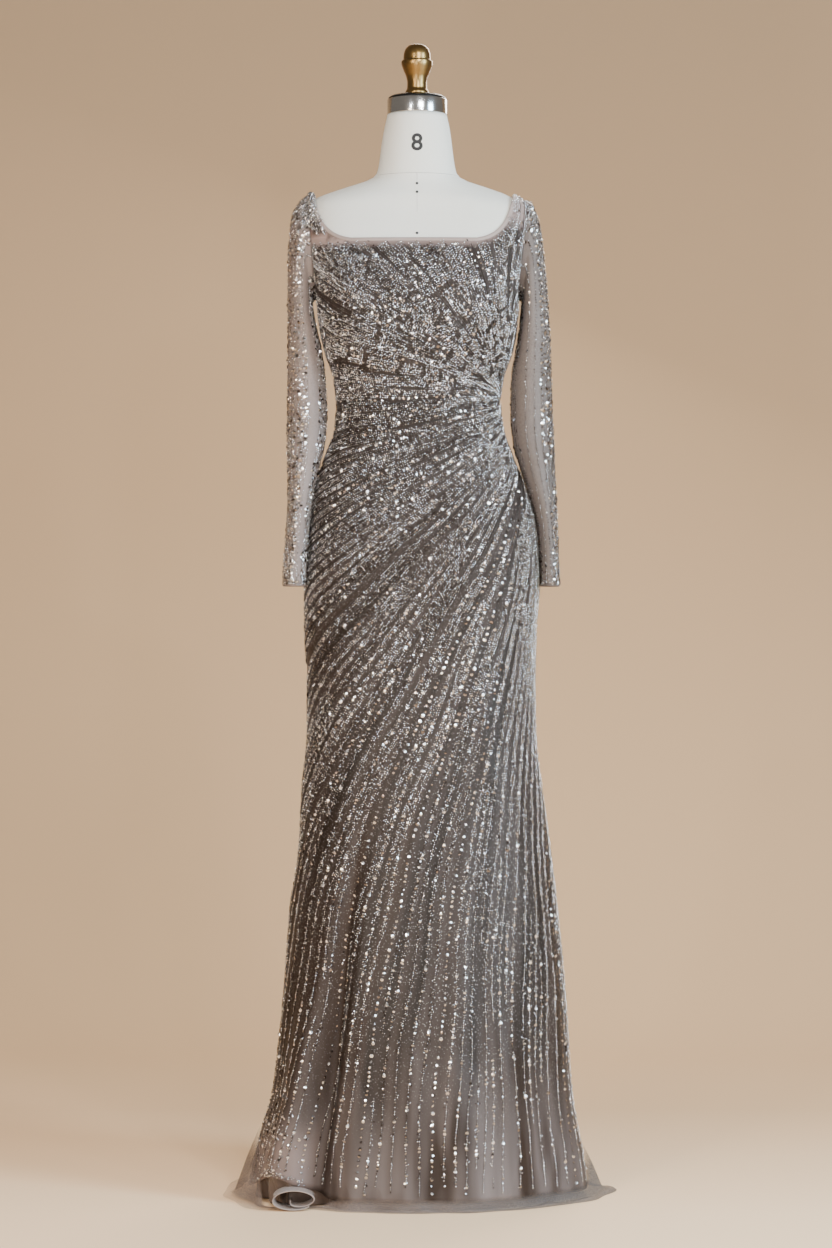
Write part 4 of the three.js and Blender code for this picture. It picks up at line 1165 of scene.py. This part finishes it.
# %% Lines at an even distance
class BeadLines:
    """Lines grown over a flat panel. Two maps say where a line may start and how far it may run."""

    CELL = 1.0
    STEP = 2.0
    LARGEST_DISC = 23
    LONGEST_RUN = 900
    SHORTEST_LINE = 14

    def __init__(self, flat, sides, draws):
        self.s0, self.z0 = -380.0, 0.0
        s = np.arange(self.s0, -self.s0, 2 * self.CELL)
        z = np.arange(self.z0, TOP_Z + 10, 2 * self.CELL)
        grid_s, grid_z = np.meshgrid(s, z)
        reach = flat.reach(grid_s, grid_z)
        points = surface(flat.angle(grid_s, grid_z), grid_z)
        allowed = (np.abs(grid_s) < reach - 1.5) & (grid_z > HEM_Z + 8) & (grid_z < 1492)
        x, height = points[..., 0], points[..., 2]
        ragged = 2.5 + 2.5 * np.sin(grid_s * 0.31) + 2.5 * np.sin(grid_s * 0.83 + 1)
        margin = BINDING_WIDTH + ragged - np.where(x < 0, 9.0, 3.0) * ease((height - 1440) / 30)
        allowed &= ~opened(points, flat.middle, margin, 2.0)
        if flat.middle == 0:
            allowed &= wedge(x, height) < 0.5
        if flat.middle == 180:
            allowed &= np.abs(grid_s) > 3.5
        if sides:
            allowed &= grid_s * sides > 0
        allowed[:12] = False
        allowed[-12:] = False
        self.allowed = np.kron(allowed, np.ones((2, 2), bool))
        self.near = np.zeros(self.allowed.shape, bool)
        self.wide = np.zeros(self.allowed.shape, bool)
        self.none = np.zeros(self.allowed.shape, bool)
        self.draws = draws
        self.lines = []
        self.discs = {}
        for radius in range(1, self.LARGEST_DISC + 1):
            y, x = np.ogrid[-radius:radius + 1, -radius:radius + 1]
            self.discs[radius] = x * x + y * y <= radius * radius

    def cell(self, s, z):
        return int((z - self.z0) / self.CELL), int((s - self.s0) / self.CELL)

    def free(self, taken, s, z):
        i, j = self.cell(s, z)
        inside = 0 <= i < taken.shape[0] and 0 <= j < taken.shape[1]
        return inside and self.allowed[i, j] and not taken[i, j]

    def stamp(self, taken, s, z, radius):
        i, j = self.cell(s, z)
        r = max(1, min(self.LARGEST_DISC, int(round(radius))))
        disc = self.discs[r]
        low_i, low_j = max(0, i - r), max(0, j - r)
        high_i, high_j = min(taken.shape[0], i + r + 1), min(taken.shape[1], j + r + 1)
        part = disc[low_i - i + r:high_i - i + r, low_j - j + r:high_j - j + r]
        taken[low_i:high_i, low_j:high_j] |= part

    def run(self, s, z, sign):
        points = []
        upper = z > WAIST_Z
        while self.free(self.near, s, z) and (z > WAIST_Z) == upper and len(points) < self.LONGEST_RUN:
            points.append((s, z))
            across, up = direction(s, z)
            s += sign * float(across) * self.STEP
            z += sign * float(up) * self.STEP
        return points

    def grow(self, s, z):
        if not self.free(self.wide, s, z):
            return None
        line = self.run(s, z, -1)[::-1] + self.run(s, z, 1)[1:]
        if len(line) * self.STEP < self.SHORTEST_LINE:
            return None
        for point in line:
            space = float(np.interp(point[1], *SPACING_AT_Z))
            self.stamp(self.near, *point, 0.76 * space)
            self.stamp(self.wide, *point, 0.94 * space)
        self.lines.append(np.array(line))
        return line

    def fill(self, starts):
        waiting = []
        for start in starts:
            line = self.grow(*start)
            if line:
                waiting.append(line)
        spots = np.argwhere(self.allowed[::6, ::6]) * 6
        self.draws.shuffle(spots)
        for i, j in spots:
            while waiting:
                line = waiting.pop(0)
                for s, z in line[::2]:
                    across, up = direction(s, z)
                    space = float(np.interp(z, *SPACING_AT_Z)) * self.draws.uniform(0.98, 1.06)
                    for side in (-1, 1):
                        found = self.grow(s - side * up * space, z + side * across * space)
                        if found:
                            waiting.append(found)
            line = self.grow(self.s0 + j, self.z0 + i)
            if line:
                waiting.append(line)
        return self


# %% Beads on the lines
SEEDS, SEQUINS = 0, 1
SIDE_ROW = 2.9  # how far the thinner rows lie from the middle of a band
SIDE_SHARE_AT_Z = ([22, 200, 400, 600, 850, 1178], [0.02, 0.10, 0.34, 0.62, 0.86, 0.97])
WAYS = ["banded", "strung", "dotted", "bare"]  # how a line is sewn
BODICE_SHARES, SKIRT_SHARES = [0.54, 0.36, 0.04, 0.06], [0.46, 0.40, 0.09, 0.05]  # of these ways
SEQUIN_SHARE = {"banded": 0.30, "strung": 0.09, "dotted": 1.0}


def bead_rows(rows):
    """Rows of beads as an array with five columns, also where there are none."""
    return np.array(rows, float).reshape(-1, 5)


def beads_on(line, draws):
    """Rows of (s, z, kind, size, tint) for one line: a middle row with sequins and thinner side rows."""
    steps = np.linalg.norm(np.diff(line, axis=0), axis=1)
    run = np.concatenate([[0], np.cumsum(steps)])
    slope = unit(np.gradient(line, axis=0))
    bodice = line[:, 1].mean() > WAIST_Z
    way = WAYS[draws.choice(4, p=BODICE_SHARES if bodice else SKIRT_SHARES)]
    if way == "bare":
        return bead_rows([])
    middle = line[len(line) // 2]
    band = float(streak(stream(middle[0], middle[1]), middle[1]))
    base_tint = 0.36 * draws.uniform(0, 1) + 0.30 * band + (0.34 if bodice else 0.20)
    stop_z = draws.uniform(10, 38)
    rows = []
    for offset in (0.0, -SIDE_ROW, SIDE_ROW):
        if offset and way == "dotted":
            continue
        share = 0.0 if offset else SEQUIN_SHARE[way] * (0.8 if bodice else 1.0)
        at = draws.uniform(0, 3)
        while at < run[-1]:
            s = np.interp(at, run, line[:, 0])
            z = np.interp(at, run, line[:, 1])
            if draws.random() < share:
                size = draws.uniform(3.6, 5.2) if bodice else draws.uniform(3.5, 5.9)
                pitch = size * 0.5 + draws.uniform(1.9, 2.6)
                if way == "dotted":
                    pitch += draws.uniform(1.5, 7.0)
                kind, tint = SEQUINS, draws.uniform(0.0, 1.0)
            else:
                size, pitch = draws.uniform(2.5, 3.5), draws.uniform(3.1, 3.9)
                kind = SEEDS
                # Painted light: seeds are made brighter towards +X on each panel, the side the strong cool
                # lamp lights; seeds in the side rows are a little darker.
                lit_side_and_row_tint = 0.34 * np.clip(s / 150, 0, 1) - 0.08 * bool(offset)
                tint = np.clip(base_tint + lit_side_and_row_tint + draws.normal(0, 0.36), 0, 1)
            kept = z > stop_z
            if offset:
                kept &= draws.random() < np.interp(z, *SIDE_SHARE_AT_Z)
            if kept:
                lean = np.array([np.interp(at, run, slope[:, 0]), np.interp(at, run, slope[:, 1])])
                aside = offset + draws.normal(0, 0.5 if bodice else 0.3)
                rows.append((s - lean[1] * aside, z + lean[0] * aside, kind, size, tint))
            at += pitch
    return bead_rows(rows)


def template(kind):
    """One bead at unit size: a seed is nearly round, a sequin is flat and cut."""
    bm = bmesh.new()
    if kind == SEEDS:
        bmesh.ops.create_uvsphere(bm, u_segments=4, v_segments=2, radius=0.5)
        bmesh.ops.scale(bm, vec=(1, 1, 0.8), verts=bm.verts)
    else:
        bmesh.ops.create_uvsphere(bm, u_segments=6, v_segments=2, radius=0.5)
        bmesh.ops.scale(bm, vec=(1, 1, 0.26), verts=bm.verts)
    bmesh.ops.triangulate(bm, faces=bm.faces)
    verts = np.array([v.co[:] for v in bm.verts])
    faces = np.array([[v.index for v in f.verts] for f in bm.faces])
    bm.free()
    return verts, faces


def bead_mesh(name, kind, points, normals, sizes, tints, tilt, draws):
    """All the beads of one kind on one panel, joined into one mesh from arrays."""
    verts, faces = template(kind)
    count = len(points)
    lean = unit(normals + tilt * draws.normal(0, 1, normals.shape))
    first = unit(np.cross(lean, draws.normal(0, 1, normals.shape)))
    second = np.cross(lean, first)
    shape = (verts[None, :, 0, None] * first[:, None] + verts[None, :, 1, None] * second[:, None]
             + verts[None, :, 2, None] * lean[:, None])
    placed = (points[:, None] + shape * sizes[:, None, None]) * MM
    placed = placed.reshape(-1, 3)
    corners = (faces[None] + (np.arange(count) * len(verts))[:, None, None]).reshape(-1, 3)
    mesh = bpy.data.meshes.new(name)
    mesh.vertices.add(len(placed))
    mesh.vertices.foreach_set("co", placed.ravel())
    mesh.loops.add(corners.size)
    mesh.loops.foreach_set("vertex_index", corners.ravel())
    mesh.polygons.add(len(corners))
    mesh.polygons.foreach_set("loop_start", np.arange(0, corners.size, 3))
    mesh.update(calc_edges=True)
    mesh.polygons.foreach_set("use_smooth", np.full(len(corners), kind == SEEDS))
    tint = mesh.attributes.new("tint", "FLOAT", "POINT")
    tint.data.foreach_set("value", np.repeat(tints, len(verts)).astype(np.float32))
    mesh.materials.append(SEED_BEAD if kind == SEEDS else SEQUIN)
    piece = bpy.data.objects.new(name, mesh)
    bpy.context.scene.collection.objects.link(piece)
    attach(piece, GOWN)
    return piece


def sew(name, rows, place, draws):
    """Makes a seed mesh and a sequin mesh from rows of beads, put on the cloth by place."""
    pieces = []
    for kind, label, tilt, sink in ((SEEDS, "seeds", 0.8, 0.36), (SEQUINS, "sequins", 0.40, 0.16)):
        own = rows[rows[:, 2] == kind]
        if not len(own):
            continue
        sizes, tints = own[:, 3], own[:, 4]
        points, normals = place(own[:, 0], own[:, 1], sizes * sink)
        pieces.append(bead_mesh(f"{name}_{label}", kind, points, normals, sizes, tints, tilt, draws))
    print(name, "beads", len(rows))
    return pieces


# %% Painted shadow strips between the lines
# Painted shadow: these strips are coloured near black to stand for the shade in the folds between the bead
# bands.
SHADOW_STRIP_FOOT_Z = 820.0
GATHER_SHADOW = Finish("gather_shadow", 0.8, Base_Color=(0.020, 0.014, 0.011, 1)).material


def shadow_strips(name, grown, place, draws):
    """Painted shadow: narrow dark strips, raised a little, that lie beside the bead lines, as one mesh of
    three-sided strips.
    """
    spots, faces = [], []
    for line in grown.lines:
        points = line[::4]
        if len(points) < 4 or draws.random() < 0.25:
            continue
        slope = unit(np.gradient(points, axis=0))
        beside = np.column_stack([-slope[:, 1], slope[:, 0]])
        points = points + beside * (0.5 * np.interp(points[:, 1], *SPACING_AT_Z))[:, None]
        inside = [grown.free(grown.none, *point) and point[1] > SHADOW_STRIP_FOOT_Z for point in points]
        width = draws.uniform(0.9, 2.3) * np.sin(np.linspace(0.12, np.pi - 0.12, len(points))) ** 0.5
        base = len(spots)
        for point, side, half in zip(points, beside, width / 2):
            spots.extend([(*(point - side * half), -0.2), (*(point + side * half), -0.2), (*point, 0.9)])
        for step in range(len(points) - 1):
            if not (inside[step] and inside[step + 1]):
                continue
            at = base + 3 * step
            for a, b in ((0, 2), (2, 1), (1, 0)):
                faces.append((at + a, at + b, at + b + 3, at + a + 3))
    spots = np.array(spots)
    points, _ = place(spots[:, 0], spots[:, 1], spots[:, 2])
    mesh = bpy.data.meshes.new(name)
    mesh.from_pydata(points * MM, [], faces)
    bm = bmesh.new()
    bm.from_mesh(mesh)
    bmesh.ops.delete(bm, geom=[v for v in bm.verts if not v.link_faces], context="VERTS")
    bmesh.ops.holes_fill(bm, edges=[e for e in bm.edges if e.is_boundary])
    bmesh.ops.recalc_face_normals(bm, faces=bm.faces)
    bpy.data.meshes.remove(mesh)
    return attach(finish_piece(bm, name, [GATHER_SHADOW], smooth=False), GOWN)


# %% [markdown]
# ### Beads of the gown
# The front and the two backs are grown one after the other, with the same rules and other draws, so
# that the hidden sides are as rich as the front. Bodice and skirt are meshes of their own.

# %% Sew the gown
STRAP_BEADS = 900
FLAP_BEADS = 300


def kind_and_size(draws, share, cut_sizes, seed_sizes):
    """A sequin, at that share, or a seed, with its size drawn from its own range."""
    kind = SEQUINS if draws.random() < share else SEEDS
    return kind, draws.uniform(*(cut_sizes if kind == SEQUINS else seed_sizes))


def strap_beads(flat, grown, draws):
    """Beads sown close together over the left strap."""
    s = draws.uniform(-190, 190, 40 * STRAP_BEADS)
    z = draws.uniform(1440, 1492, 40 * STRAP_BEADS)
    x = surface(flat.angle(s, z), z)[..., 0]
    wanted = (x < -122) & (draws.random(len(s)) < ease((z - 1440) / 14))
    rows = []
    for place in np.column_stack([s, z])[wanted][:STRAP_BEADS]:
        if grown.free(grown.none, *place):
            kind, size = kind_and_size(draws, 0.32, (3.6, 5.4), (2.3, 3.2))
            rows.append((*place, kind, size, draws.uniform(0.25, 1.0)))
    return bead_rows(rows)


def flap_beads(flat, draws):
    """Loose beads on the turned-up corner, closest together along its ragged lower edge."""
    def spread(low, high):
        return draws.uniform(low, high, FLAP_BEADS)
    angle = spread(-84, -45)
    edge = draws.random(FLAP_BEADS) < 0.4
    z = HEM_Z + np.where(edge, 1.5 + np.abs(draws.normal(0, 5, FLAP_BEADS)), spread(4, 120))
    cut = draws.random(FLAP_BEADS) < 0.3
    size = np.where(cut, spread(3.4, 5.2), spread(2.4, 3.1))
    return np.column_stack([flat.across(angle, z), z, np.where(cut, SEQUINS, SEEDS), size, spread(0.3, 1.0)])


def sew_panel(name, flat, sides, starts):
    grown = BeadLines(flat, sides, luck).fill(starts)
    loose = [strap_beads(flat, grown, luck)] + ([] if sides else [flap_beads(flat, luck)])
    rows = np.vstack([beads_on(line, luck) for line in grown.lines] + loose)
    upper = rows[:, 1] > WAIST_Z
    def place(s, z, out):
        return on_cloth(flat.angle(s, z), z, out)
    pieces = sew(f"{name}_bodice", rows[upper], place, luck)
    pieces += sew(f"{name}_skirt", rows[~upper], place, luck)
    return pieces + [shadow_strips(f"{name}_gathers", grown, place, luck)]


front_beads = sew_panel("front", front_flat, 0, [(0.0, 1300.0), (-40.0, 1000.0)])
back_left_beads = sew_panel("back_left", back_flat, -1, [(-60.0, 1300.0), (-60.0, 1000.0)])
back_right_beads = sew_panel("back_right", back_flat, 1, [(60.0, 1300.0), (60.0, 1000.0)])

# %% [markdown]
# ### Beads of the sleeves
# Strings run down each sleeve. They are dense on the outside and thin between, with bare net strips
# where the skin would show, so each group of strings is a row of a table.

# %% Sleeve strings
SLEEVE_STRINGS = {  # from turn, to turn, strings, share of sequins, share of the string that is sewn
    -1: [
        (-88, 4, 17, 0.40, 0.97), (-98, -94, 1, 0.04, 0.95), (-176, -128, 10, 0.24, 0.92),
        (10, 80, 8, 0.24, 0.9), (92, 172, 7, 0.2, 0.85),
    ],
    1: [
        (-66, 6, 15, 0.24, 0.96), (-84, -82, 1, 0.02, 1.0), (-110, -108, 1, 0.02, 1.0),
        (-172, -140, 4, 0.16, 0.9), (12, 80, 8, 0.24, 0.9), (92, 172, 7, 0.2, 0.85),
    ],
}
CUFF_BEADS = 150
CAP_BEADS = {-1: 520, 1: 170}


def sleeve_rows(side, draws):
    rows = []
    for first, last, count, share, sewn in SLEEVE_STRINGS[side]:
        for turn in np.linspace(first, last, count):
            length = 12.0 * RING_STEP
            at = draws.uniform(0, 6)
            # Painted light and shade: strings on the left sleeve get bright seeds and those on the right
            # sleeve dark ones, one side against the other.
            base_tint = draws.uniform(0.62, 1.0) if side < 0 else draws.uniform(0.0, 0.5)
            sway = draws.uniform(0, 6.28)
            while at < length - 3:
                ring = 0.12 + at / length * 11.85
                crowd = 1.25 - 0.35 * min(1.0, ring / 4.0)
                if draws.random() < share * crowd:
                    size, kind = draws.uniform(4.0, 6.2), SEQUINS
                    pitch = size * 0.5 + draws.uniform(1.8, 2.8)
                    tint = draws.uniform(0, 1)
                else:
                    size, kind = draws.uniform(2.2, 3.0), SEEDS
                    pitch = draws.uniform(2.8, 3.5)
                    tint = np.clip(base_tint + draws.normal(0, 0.3), 0, 1)
                if draws.random() < sewn:
                    wander = 3.0 * math.sin(at * 0.012 + sway) + draws.normal(0, 1.0)
                    rows.append((turn + wander, ring, kind, size, tint))
                at += pitch
    for _ in range(CUFF_BEADS):
        ring = 11.95 - abs(draws.normal(0, 0.22))
        kind, size = kind_and_size(draws, 0.18, (3.6, 5.0), (2.2, 3.0))
        rows.append((draws.uniform(-180, 180), ring, kind, size, draws.uniform(0.0, 0.8)))
    for _ in range(CAP_BEADS[side]):
        ring = 0.05 + abs(draws.normal(0, 0.75))
        kind, size = kind_and_size(draws, 0.30, (3.8, 5.6), (2.3, 3.2))
        rows.append((draws.uniform(-62, 62), ring, kind, size, draws.uniform(0.1, 1.0)))
    return bead_rows(rows)


def sew_sleeve(name, side):
    def place(turn, ring, out):
        return off_sleeve(side, turn, ring, out)
    return sew(name, sleeve_rows(side, luck), place, luck)


left_sleeve_beads = sew_sleeve("sleeve_left", -1)
right_sleeve_beads = sew_sleeve("sleeve_right", 1)

# %% [markdown]
# ## Dress form
# A padded body under tight canvas, bare at the neck and shoulders. It is the gown's own form a
# little smaller, so it stays whole and clear of the cloth. The number on the neck is its size.

# %% Canvas body
FORM_BOTTOM_Z, NECK_TOP_Z, BARE_NECK_Z = 862.0, 1612.0, 1530.0
FORM_INSET = 2.5
FORM_FLOOR = 32.0  # how far the underside curls in
FORM_EDGE = 18.0  # over this height


def form_place(angle, z):
    bare = ease((z - TOP_Z) / (BARE_NECK_Z - TOP_Z))
    low = np.clip((FORM_BOTTOM_Z + FORM_EDGE - z) / FORM_EDGE, 0, 1)
    inset = FORM_INSET * (1 - bare) + FORM_FLOOR * (1 - np.sqrt(1 - np.minimum(low, 0.999) ** 2))
    point, _ = off_surface(angle, np.minimum(z, NECK_TOP_Z - 1), -inset, creased=False)
    point[..., 2] = np.where(low > 0.98, FORM_BOTTOM_Z, z)
    return point


def form_flat(angle, z):
    radius = np.linalg.norm(surface(angle, z, False)[..., :2], axis=-1)
    return np.column_stack([np.radians(angle) * radius, z])


torso = sheet("canvas_body", [CANVAS], 80, 120, (-180, 180), (FORM_BOTTOM_Z, NECK_TOP_Z),
              form_place, form_flat, closed=True)
face_outwards(torso, (0, 0, 0))
bm = bmesh.new()
bm.from_mesh(torso.data)
bmesh.ops.holes_fill(bm, edges=[e for e in bm.edges if e.is_boundary])
bm.to_mesh(torso.data)
bm.free()
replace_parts(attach(torso, GOWN), "form_torso")


# %% Canvas seams
def raised_line(name, points, width, resolution, material):
    """A thin round line, swept from a ring along its points."""
    curve = bpy.data.curves.new(name, "CURVE")
    curve.dimensions = "3D"
    curve.bevel_depth = width / 2 * MM
    curve.bevel_resolution = resolution
    curve.use_fill_caps = True
    line = curve.splines.new("POLY")
    line.points.add(len(points) - 1)
    for spot, point in zip(line.points, points):
        spot.co = (*(point * MM), 1)
    piece = bpy.data.objects.new(name, curve)
    bpy.context.scene.collection.objects.link(piece)
    curve.materials.append(material)
    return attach(piece, GOWN)


def form_seam(name, angles, heights, width):
    """A line of thread on the form."""
    points, normals = off_surface(angles, heights, 0.1, False)
    bare = ease((heights - TOP_Z) / (BARE_NECK_Z - TOP_Z))
    points = points - normals * (FORM_INSET * (1 - bare))[:, None]
    return raised_line(name, points, width, 1, SEAM_THREAD)


SEAM_THREAD = Finish("seam_thread", 0.9, Base_Color=(0.46, 0.45, 0.42, 1)).material
NECK_SEAM_Z = 1520.0
form_seam("seam_centre_front", np.zeros(30), np.linspace(1430, NECK_SEAM_Z, 30), 0.7)
form_seam("seam_centre_back", np.full(30, 180.0), np.linspace(1442, NECK_SEAM_Z, 30), 0.7)
form_seam("seam_neck", np.linspace(0, 360, 73), np.full(73, NECK_SEAM_Z), 0.9)
for side, label in ((-1, "left"), (1, "right")):
    form_seam(f"seam_shoulder_{label}", np.full(24, side * 96.0), np.linspace(1486, NECK_SEAM_Z, 24), 0.7)

# %% Size number on the neck
NUMBER_Z, NUMBER_HEIGHT, NUMBER_WIDTH = 1566.0, 26.0, 17.0
letter = bpy.data.curves.new("form_size_number", "FONT")
letter.body = "8"
letter.align_x = "CENTER"
letter.align_y = "CENTER"
letter.offset = 0.022
sample = bpy.data.objects.new("form_size_number", letter)
bpy.context.scene.collection.objects.link(sample)
bpy.context.view_layer.update()
number_mesh = bpy.data.meshes.new_from_object(sample)
bpy.data.objects.remove(sample)
bm = bmesh.new()
bm.from_mesh(number_mesh)
bmesh.ops.triangulate(bm, faces=bm.faces)
bmesh.ops.subdivide_edges(bm, edges=bm.edges, cuts=3, use_grid_fill=True)
spots = np.array([v.co[:2] for v in bm.verts])
spots -= (spots.min(0) + spots.max(0)) / 2
spots *= np.array([NUMBER_WIDTH, NUMBER_HEIGHT]) / (spots.max(0) - spots.min(0))
neck_radius = float(np.linalg.norm(surface(0.0, NUMBER_Z, False)[:2]))
inked, _ = off_surface(np.degrees(spots[:, 0] / neck_radius), NUMBER_Z + spots[:, 1], 0.25, False)
for vert, point in zip(bm.verts, inked * MM):
    vert.co = point
bm.normal_update()
number = face_outwards(finish_piece(bm, "size_number_8", [INK], smooth=False), (0, 0, 0))
thicken(number, 0.4)
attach(number, GOWN)

# %% Pins on the centre line
for index, pin_z in enumerate((1503.5, 1490.0, 1426.0)):
    bm = bmesh.new()
    bmesh.ops.create_uvsphere(bm, u_segments=12, v_segments=8, radius=2.1 * MM)
    head, _ = off_surface(np.array([0.0]), np.array([pin_z]), 0.0, False)
    inset = FORM_INSET * (1 - float(ease((pin_z - TOP_Z) / (BARE_NECK_Z - TOP_Z))))
    bmesh.ops.translate(bm, vec=Vector(head[0] * MM) + Vector((0, (inset - 0.3) * MM, 0)), verts=bm.verts)
    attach(finish_piece(bm, f"pin_{index}", [INK]), GOWN)
print("form done")


# %% [markdown]
# ## Turned metal
# Ring, knob, pole, collar and base are turned on a lathe, so bmesh spins a profile. The profile's
# curve goes through the same rows as the solid that it stands for, with many more points.

# %% Spin a profile
SHARP = math.radians(35)


def turned(name, outline, material, body_slot, node, segments=72):
    """Spins (radius, z) points round the z axis and closes both ends on it."""
    bm = bmesh.new()
    verts = [bm.verts.new((radius * MM, 0, z * MM)) for radius, z in outline]
    edges = [bm.edges.new(pair) for pair in zip(verts[:-1], verts[1:])]
    bmesh.ops.spin(bm, geom=verts + edges, cent=(0, 0, 0), axis=(0, 0, 1), angle=math.tau,
                   steps=segments, use_merge=True)
    bmesh.ops.remove_doubles(bm, verts=bm.verts, dist=1e-6)
    bmesh.ops.recalc_face_normals(bm, faces=bm.faces)
    piece = finish_piece(bm, name, [material])
    rounding = piece.modifiers.new("edge", "BEVEL")
    rounding.width = 0.4 * MM
    rounding.segments = 2
    rounding.limit_method = "ANGLE"
    rounding.angle_limit = SHARP
    piece.data.set_sharp_from_angle(angle=SHARP)
    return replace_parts(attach(piece, GOWN), *node)


def curved(rows, count):
    """A smooth profile through (z, radius) rows."""
    table = SmoothTable(rows)
    heights = np.linspace(rows[0][0], rows[-1][0], count)
    return [(float(table(z)[0]), float(z)) for z in heights]


knob_low = [(1643.3, 17.2), (1645, 17.8), (1647, 17.6), (1653, 14.8), (1661, 14.6), (1669, 16.0),
            (1678, 19.6), (1689, 23.4), (1691, 23.6)]
knob_high = [(1693.5, 23.2), (1695, 20.6), (1703, 20.0), (1708, 18.8), (1712, 17.0), (1715.5, 13.6),
             (1717.6, 10.0), (1718.7, 5.0)]
knob_profile = [(0, 1643.3)] + curved(knob_low, 44) + curved(knob_high, 34) + [(0, 1719)]
turned("gilt_knob", knob_profile, GILT, "gilt_metal", ["form_knob"])
ring_profile = [(0, 1612.3), (43.4, 1612.3), (44.6, 1613.5), (44.6, 1634.5), (43.8, 1636), (0, 1636)]
dome_profile = [(43.6, 1636.2), (42.6, 1638.6), (39, 1640.8), (32, 1642.2), (20, 1643), (0, 1643)]
turned("chrome_ring", ring_profile, CHROME, "chrome", ["form_neck_plate"])
turned("dark_dome", [(0, 1636.2)] + dome_profile, DARK_DOME, "chrome", [])
pole_profile = [(0, 18.3), (14, 18.3), (14, 861.7), (0, 861.7)]
turned("steel_pole", pole_profile, STAND, "stand_metal", ["form_pole"])
collar_profile = [(14.3, 834), (22, 834), (24, 836), (24, 861.7), (14.3, 861.7), (14.3, 834)]
turned("pole_collar", collar_profile, STAND, "stand_metal", ["form_collar"])
base_profile = [(0, 0), (158.5, 0), (160, 1.5), (160, 6), (158, 8.2), (154, 9.2), (40, 16), (34, 18),
                (0, 18)]
turned("round_base", base_profile, STAND, "stand_metal", ["form_base"])
print("turned pieces done")

# %% [markdown]
# ## Zip
# The concealed zip runs down the centre back from the neckline. Only its two rolled lips show, with
# the slider's body and its pull tab at the top. Slider and tab keep their solids.

# %% Zip lips and metal
ZIP_LOW, ZIP_HIGH = 1000.0, 1436.0
LIP_HALF_GAP, LIP_WIDTH = 0.45, 1.1
for side, label in ((-1, "left"), (1, "right")):
    heights = np.linspace(ZIP_LOW, ZIP_HIGH, 90)
    radius = np.linalg.norm(surface(180.0, heights)[:, :2], axis=1)
    lip, _ = off_surface(180 + side * LIP_HALF_GAP * 90 / radius, heights, 0.1)
    raised_line(f"zip_lip_{label}", lip, LIP_WIDTH, 2, BINDING)
for node in ("zip_slider", "zip_pull"):
    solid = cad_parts[node]
    solid.data.materials.clear()
    solid.data.materials.append(ZIP)

# %% [markdown]

# %% [markdown]
# ## Floor
# A pale floor that curves up behind the gown, so that the picture has no horizon.

# %% Seamless floor
FLOOR_HALF, FLOOR_FRONT, BEND_START, BEND_RADIUS, WALL_TOP = 4.5, -7.5, 1.6, 1.2, 5.0


def backdrop():
    finish = Finish("seamless_paper", 0.9)
    place = finish.coordinates()
    # Painted shade: the one paper is coloured darker and browner towards the back of the floor and darker
    # still up the wall.
    height = (finish.axis(place, "Z") * 0.45).clamp()
    patch = finish.noise(place, 1.1, 2.0)
    ground = finish.blend(patch, (0.96, 0.690, 0.435), (0.99, 0.725, 0.465))
    low = finish.blend((finish.axis(place, "Y") * 0.9 + 0.2).clamp(), ground, (0.695, 0.470, 0.270))
    finish.set(Base_Color=finish.blend(height, low, (0.505, 0.353, 0.215)))
    behind = Number(finish, finish.node("ShaderNodeNewGeometry").outputs["Backfacing"])
    finish.set(Alpha=1.0 - behind)  # a camera behind the wall sees through it
    return finish.material


bm = bmesh.new()
edge = [bm.verts.new((-FLOOR_HALF, FLOOR_FRONT, 0)), bm.verts.new((-FLOOR_HALF, BEND_START, 0))]
for step in range(1, 17):
    bend = math.radians(90 * step / 16)
    edge.append(bm.verts.new((-FLOOR_HALF, BEND_START + BEND_RADIUS * math.sin(bend),
                              BEND_RADIUS * (1 - math.cos(bend)))))
edge.append(bm.verts.new((-FLOOR_HALF, BEND_START + BEND_RADIUS, WALL_TOP)))
lines = [bm.edges.new(pair) for pair in zip(edge[:-1], edge[1:])]
swept = bmesh.ops.extrude_edge_only(bm, edges=lines)
moved = [item for item in swept["geom"] if isinstance(item, bmesh.types.BMVert)]
bmesh.ops.translate(bm, vec=(2 * FLOOR_HALF, 0, 0), verts=moved)
bmesh.ops.recalc_face_normals(bm, faces=bm.faces)
floor = finish_piece(bm, "seamless_floor", [backdrop()])
if floor.data.polygons[0].normal.z < 0:
    floor.data.flip_normals()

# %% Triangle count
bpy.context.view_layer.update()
ready = bpy.context.evaluated_depsgraph_get()
made = [item.evaluated_get(ready).to_mesh() for item in bpy.data.objects if item.type in ("MESH", "CURVE")]
print("triangles", sum(len(mesh.loops) - 2 * len(mesh.polygons) for mesh in made))
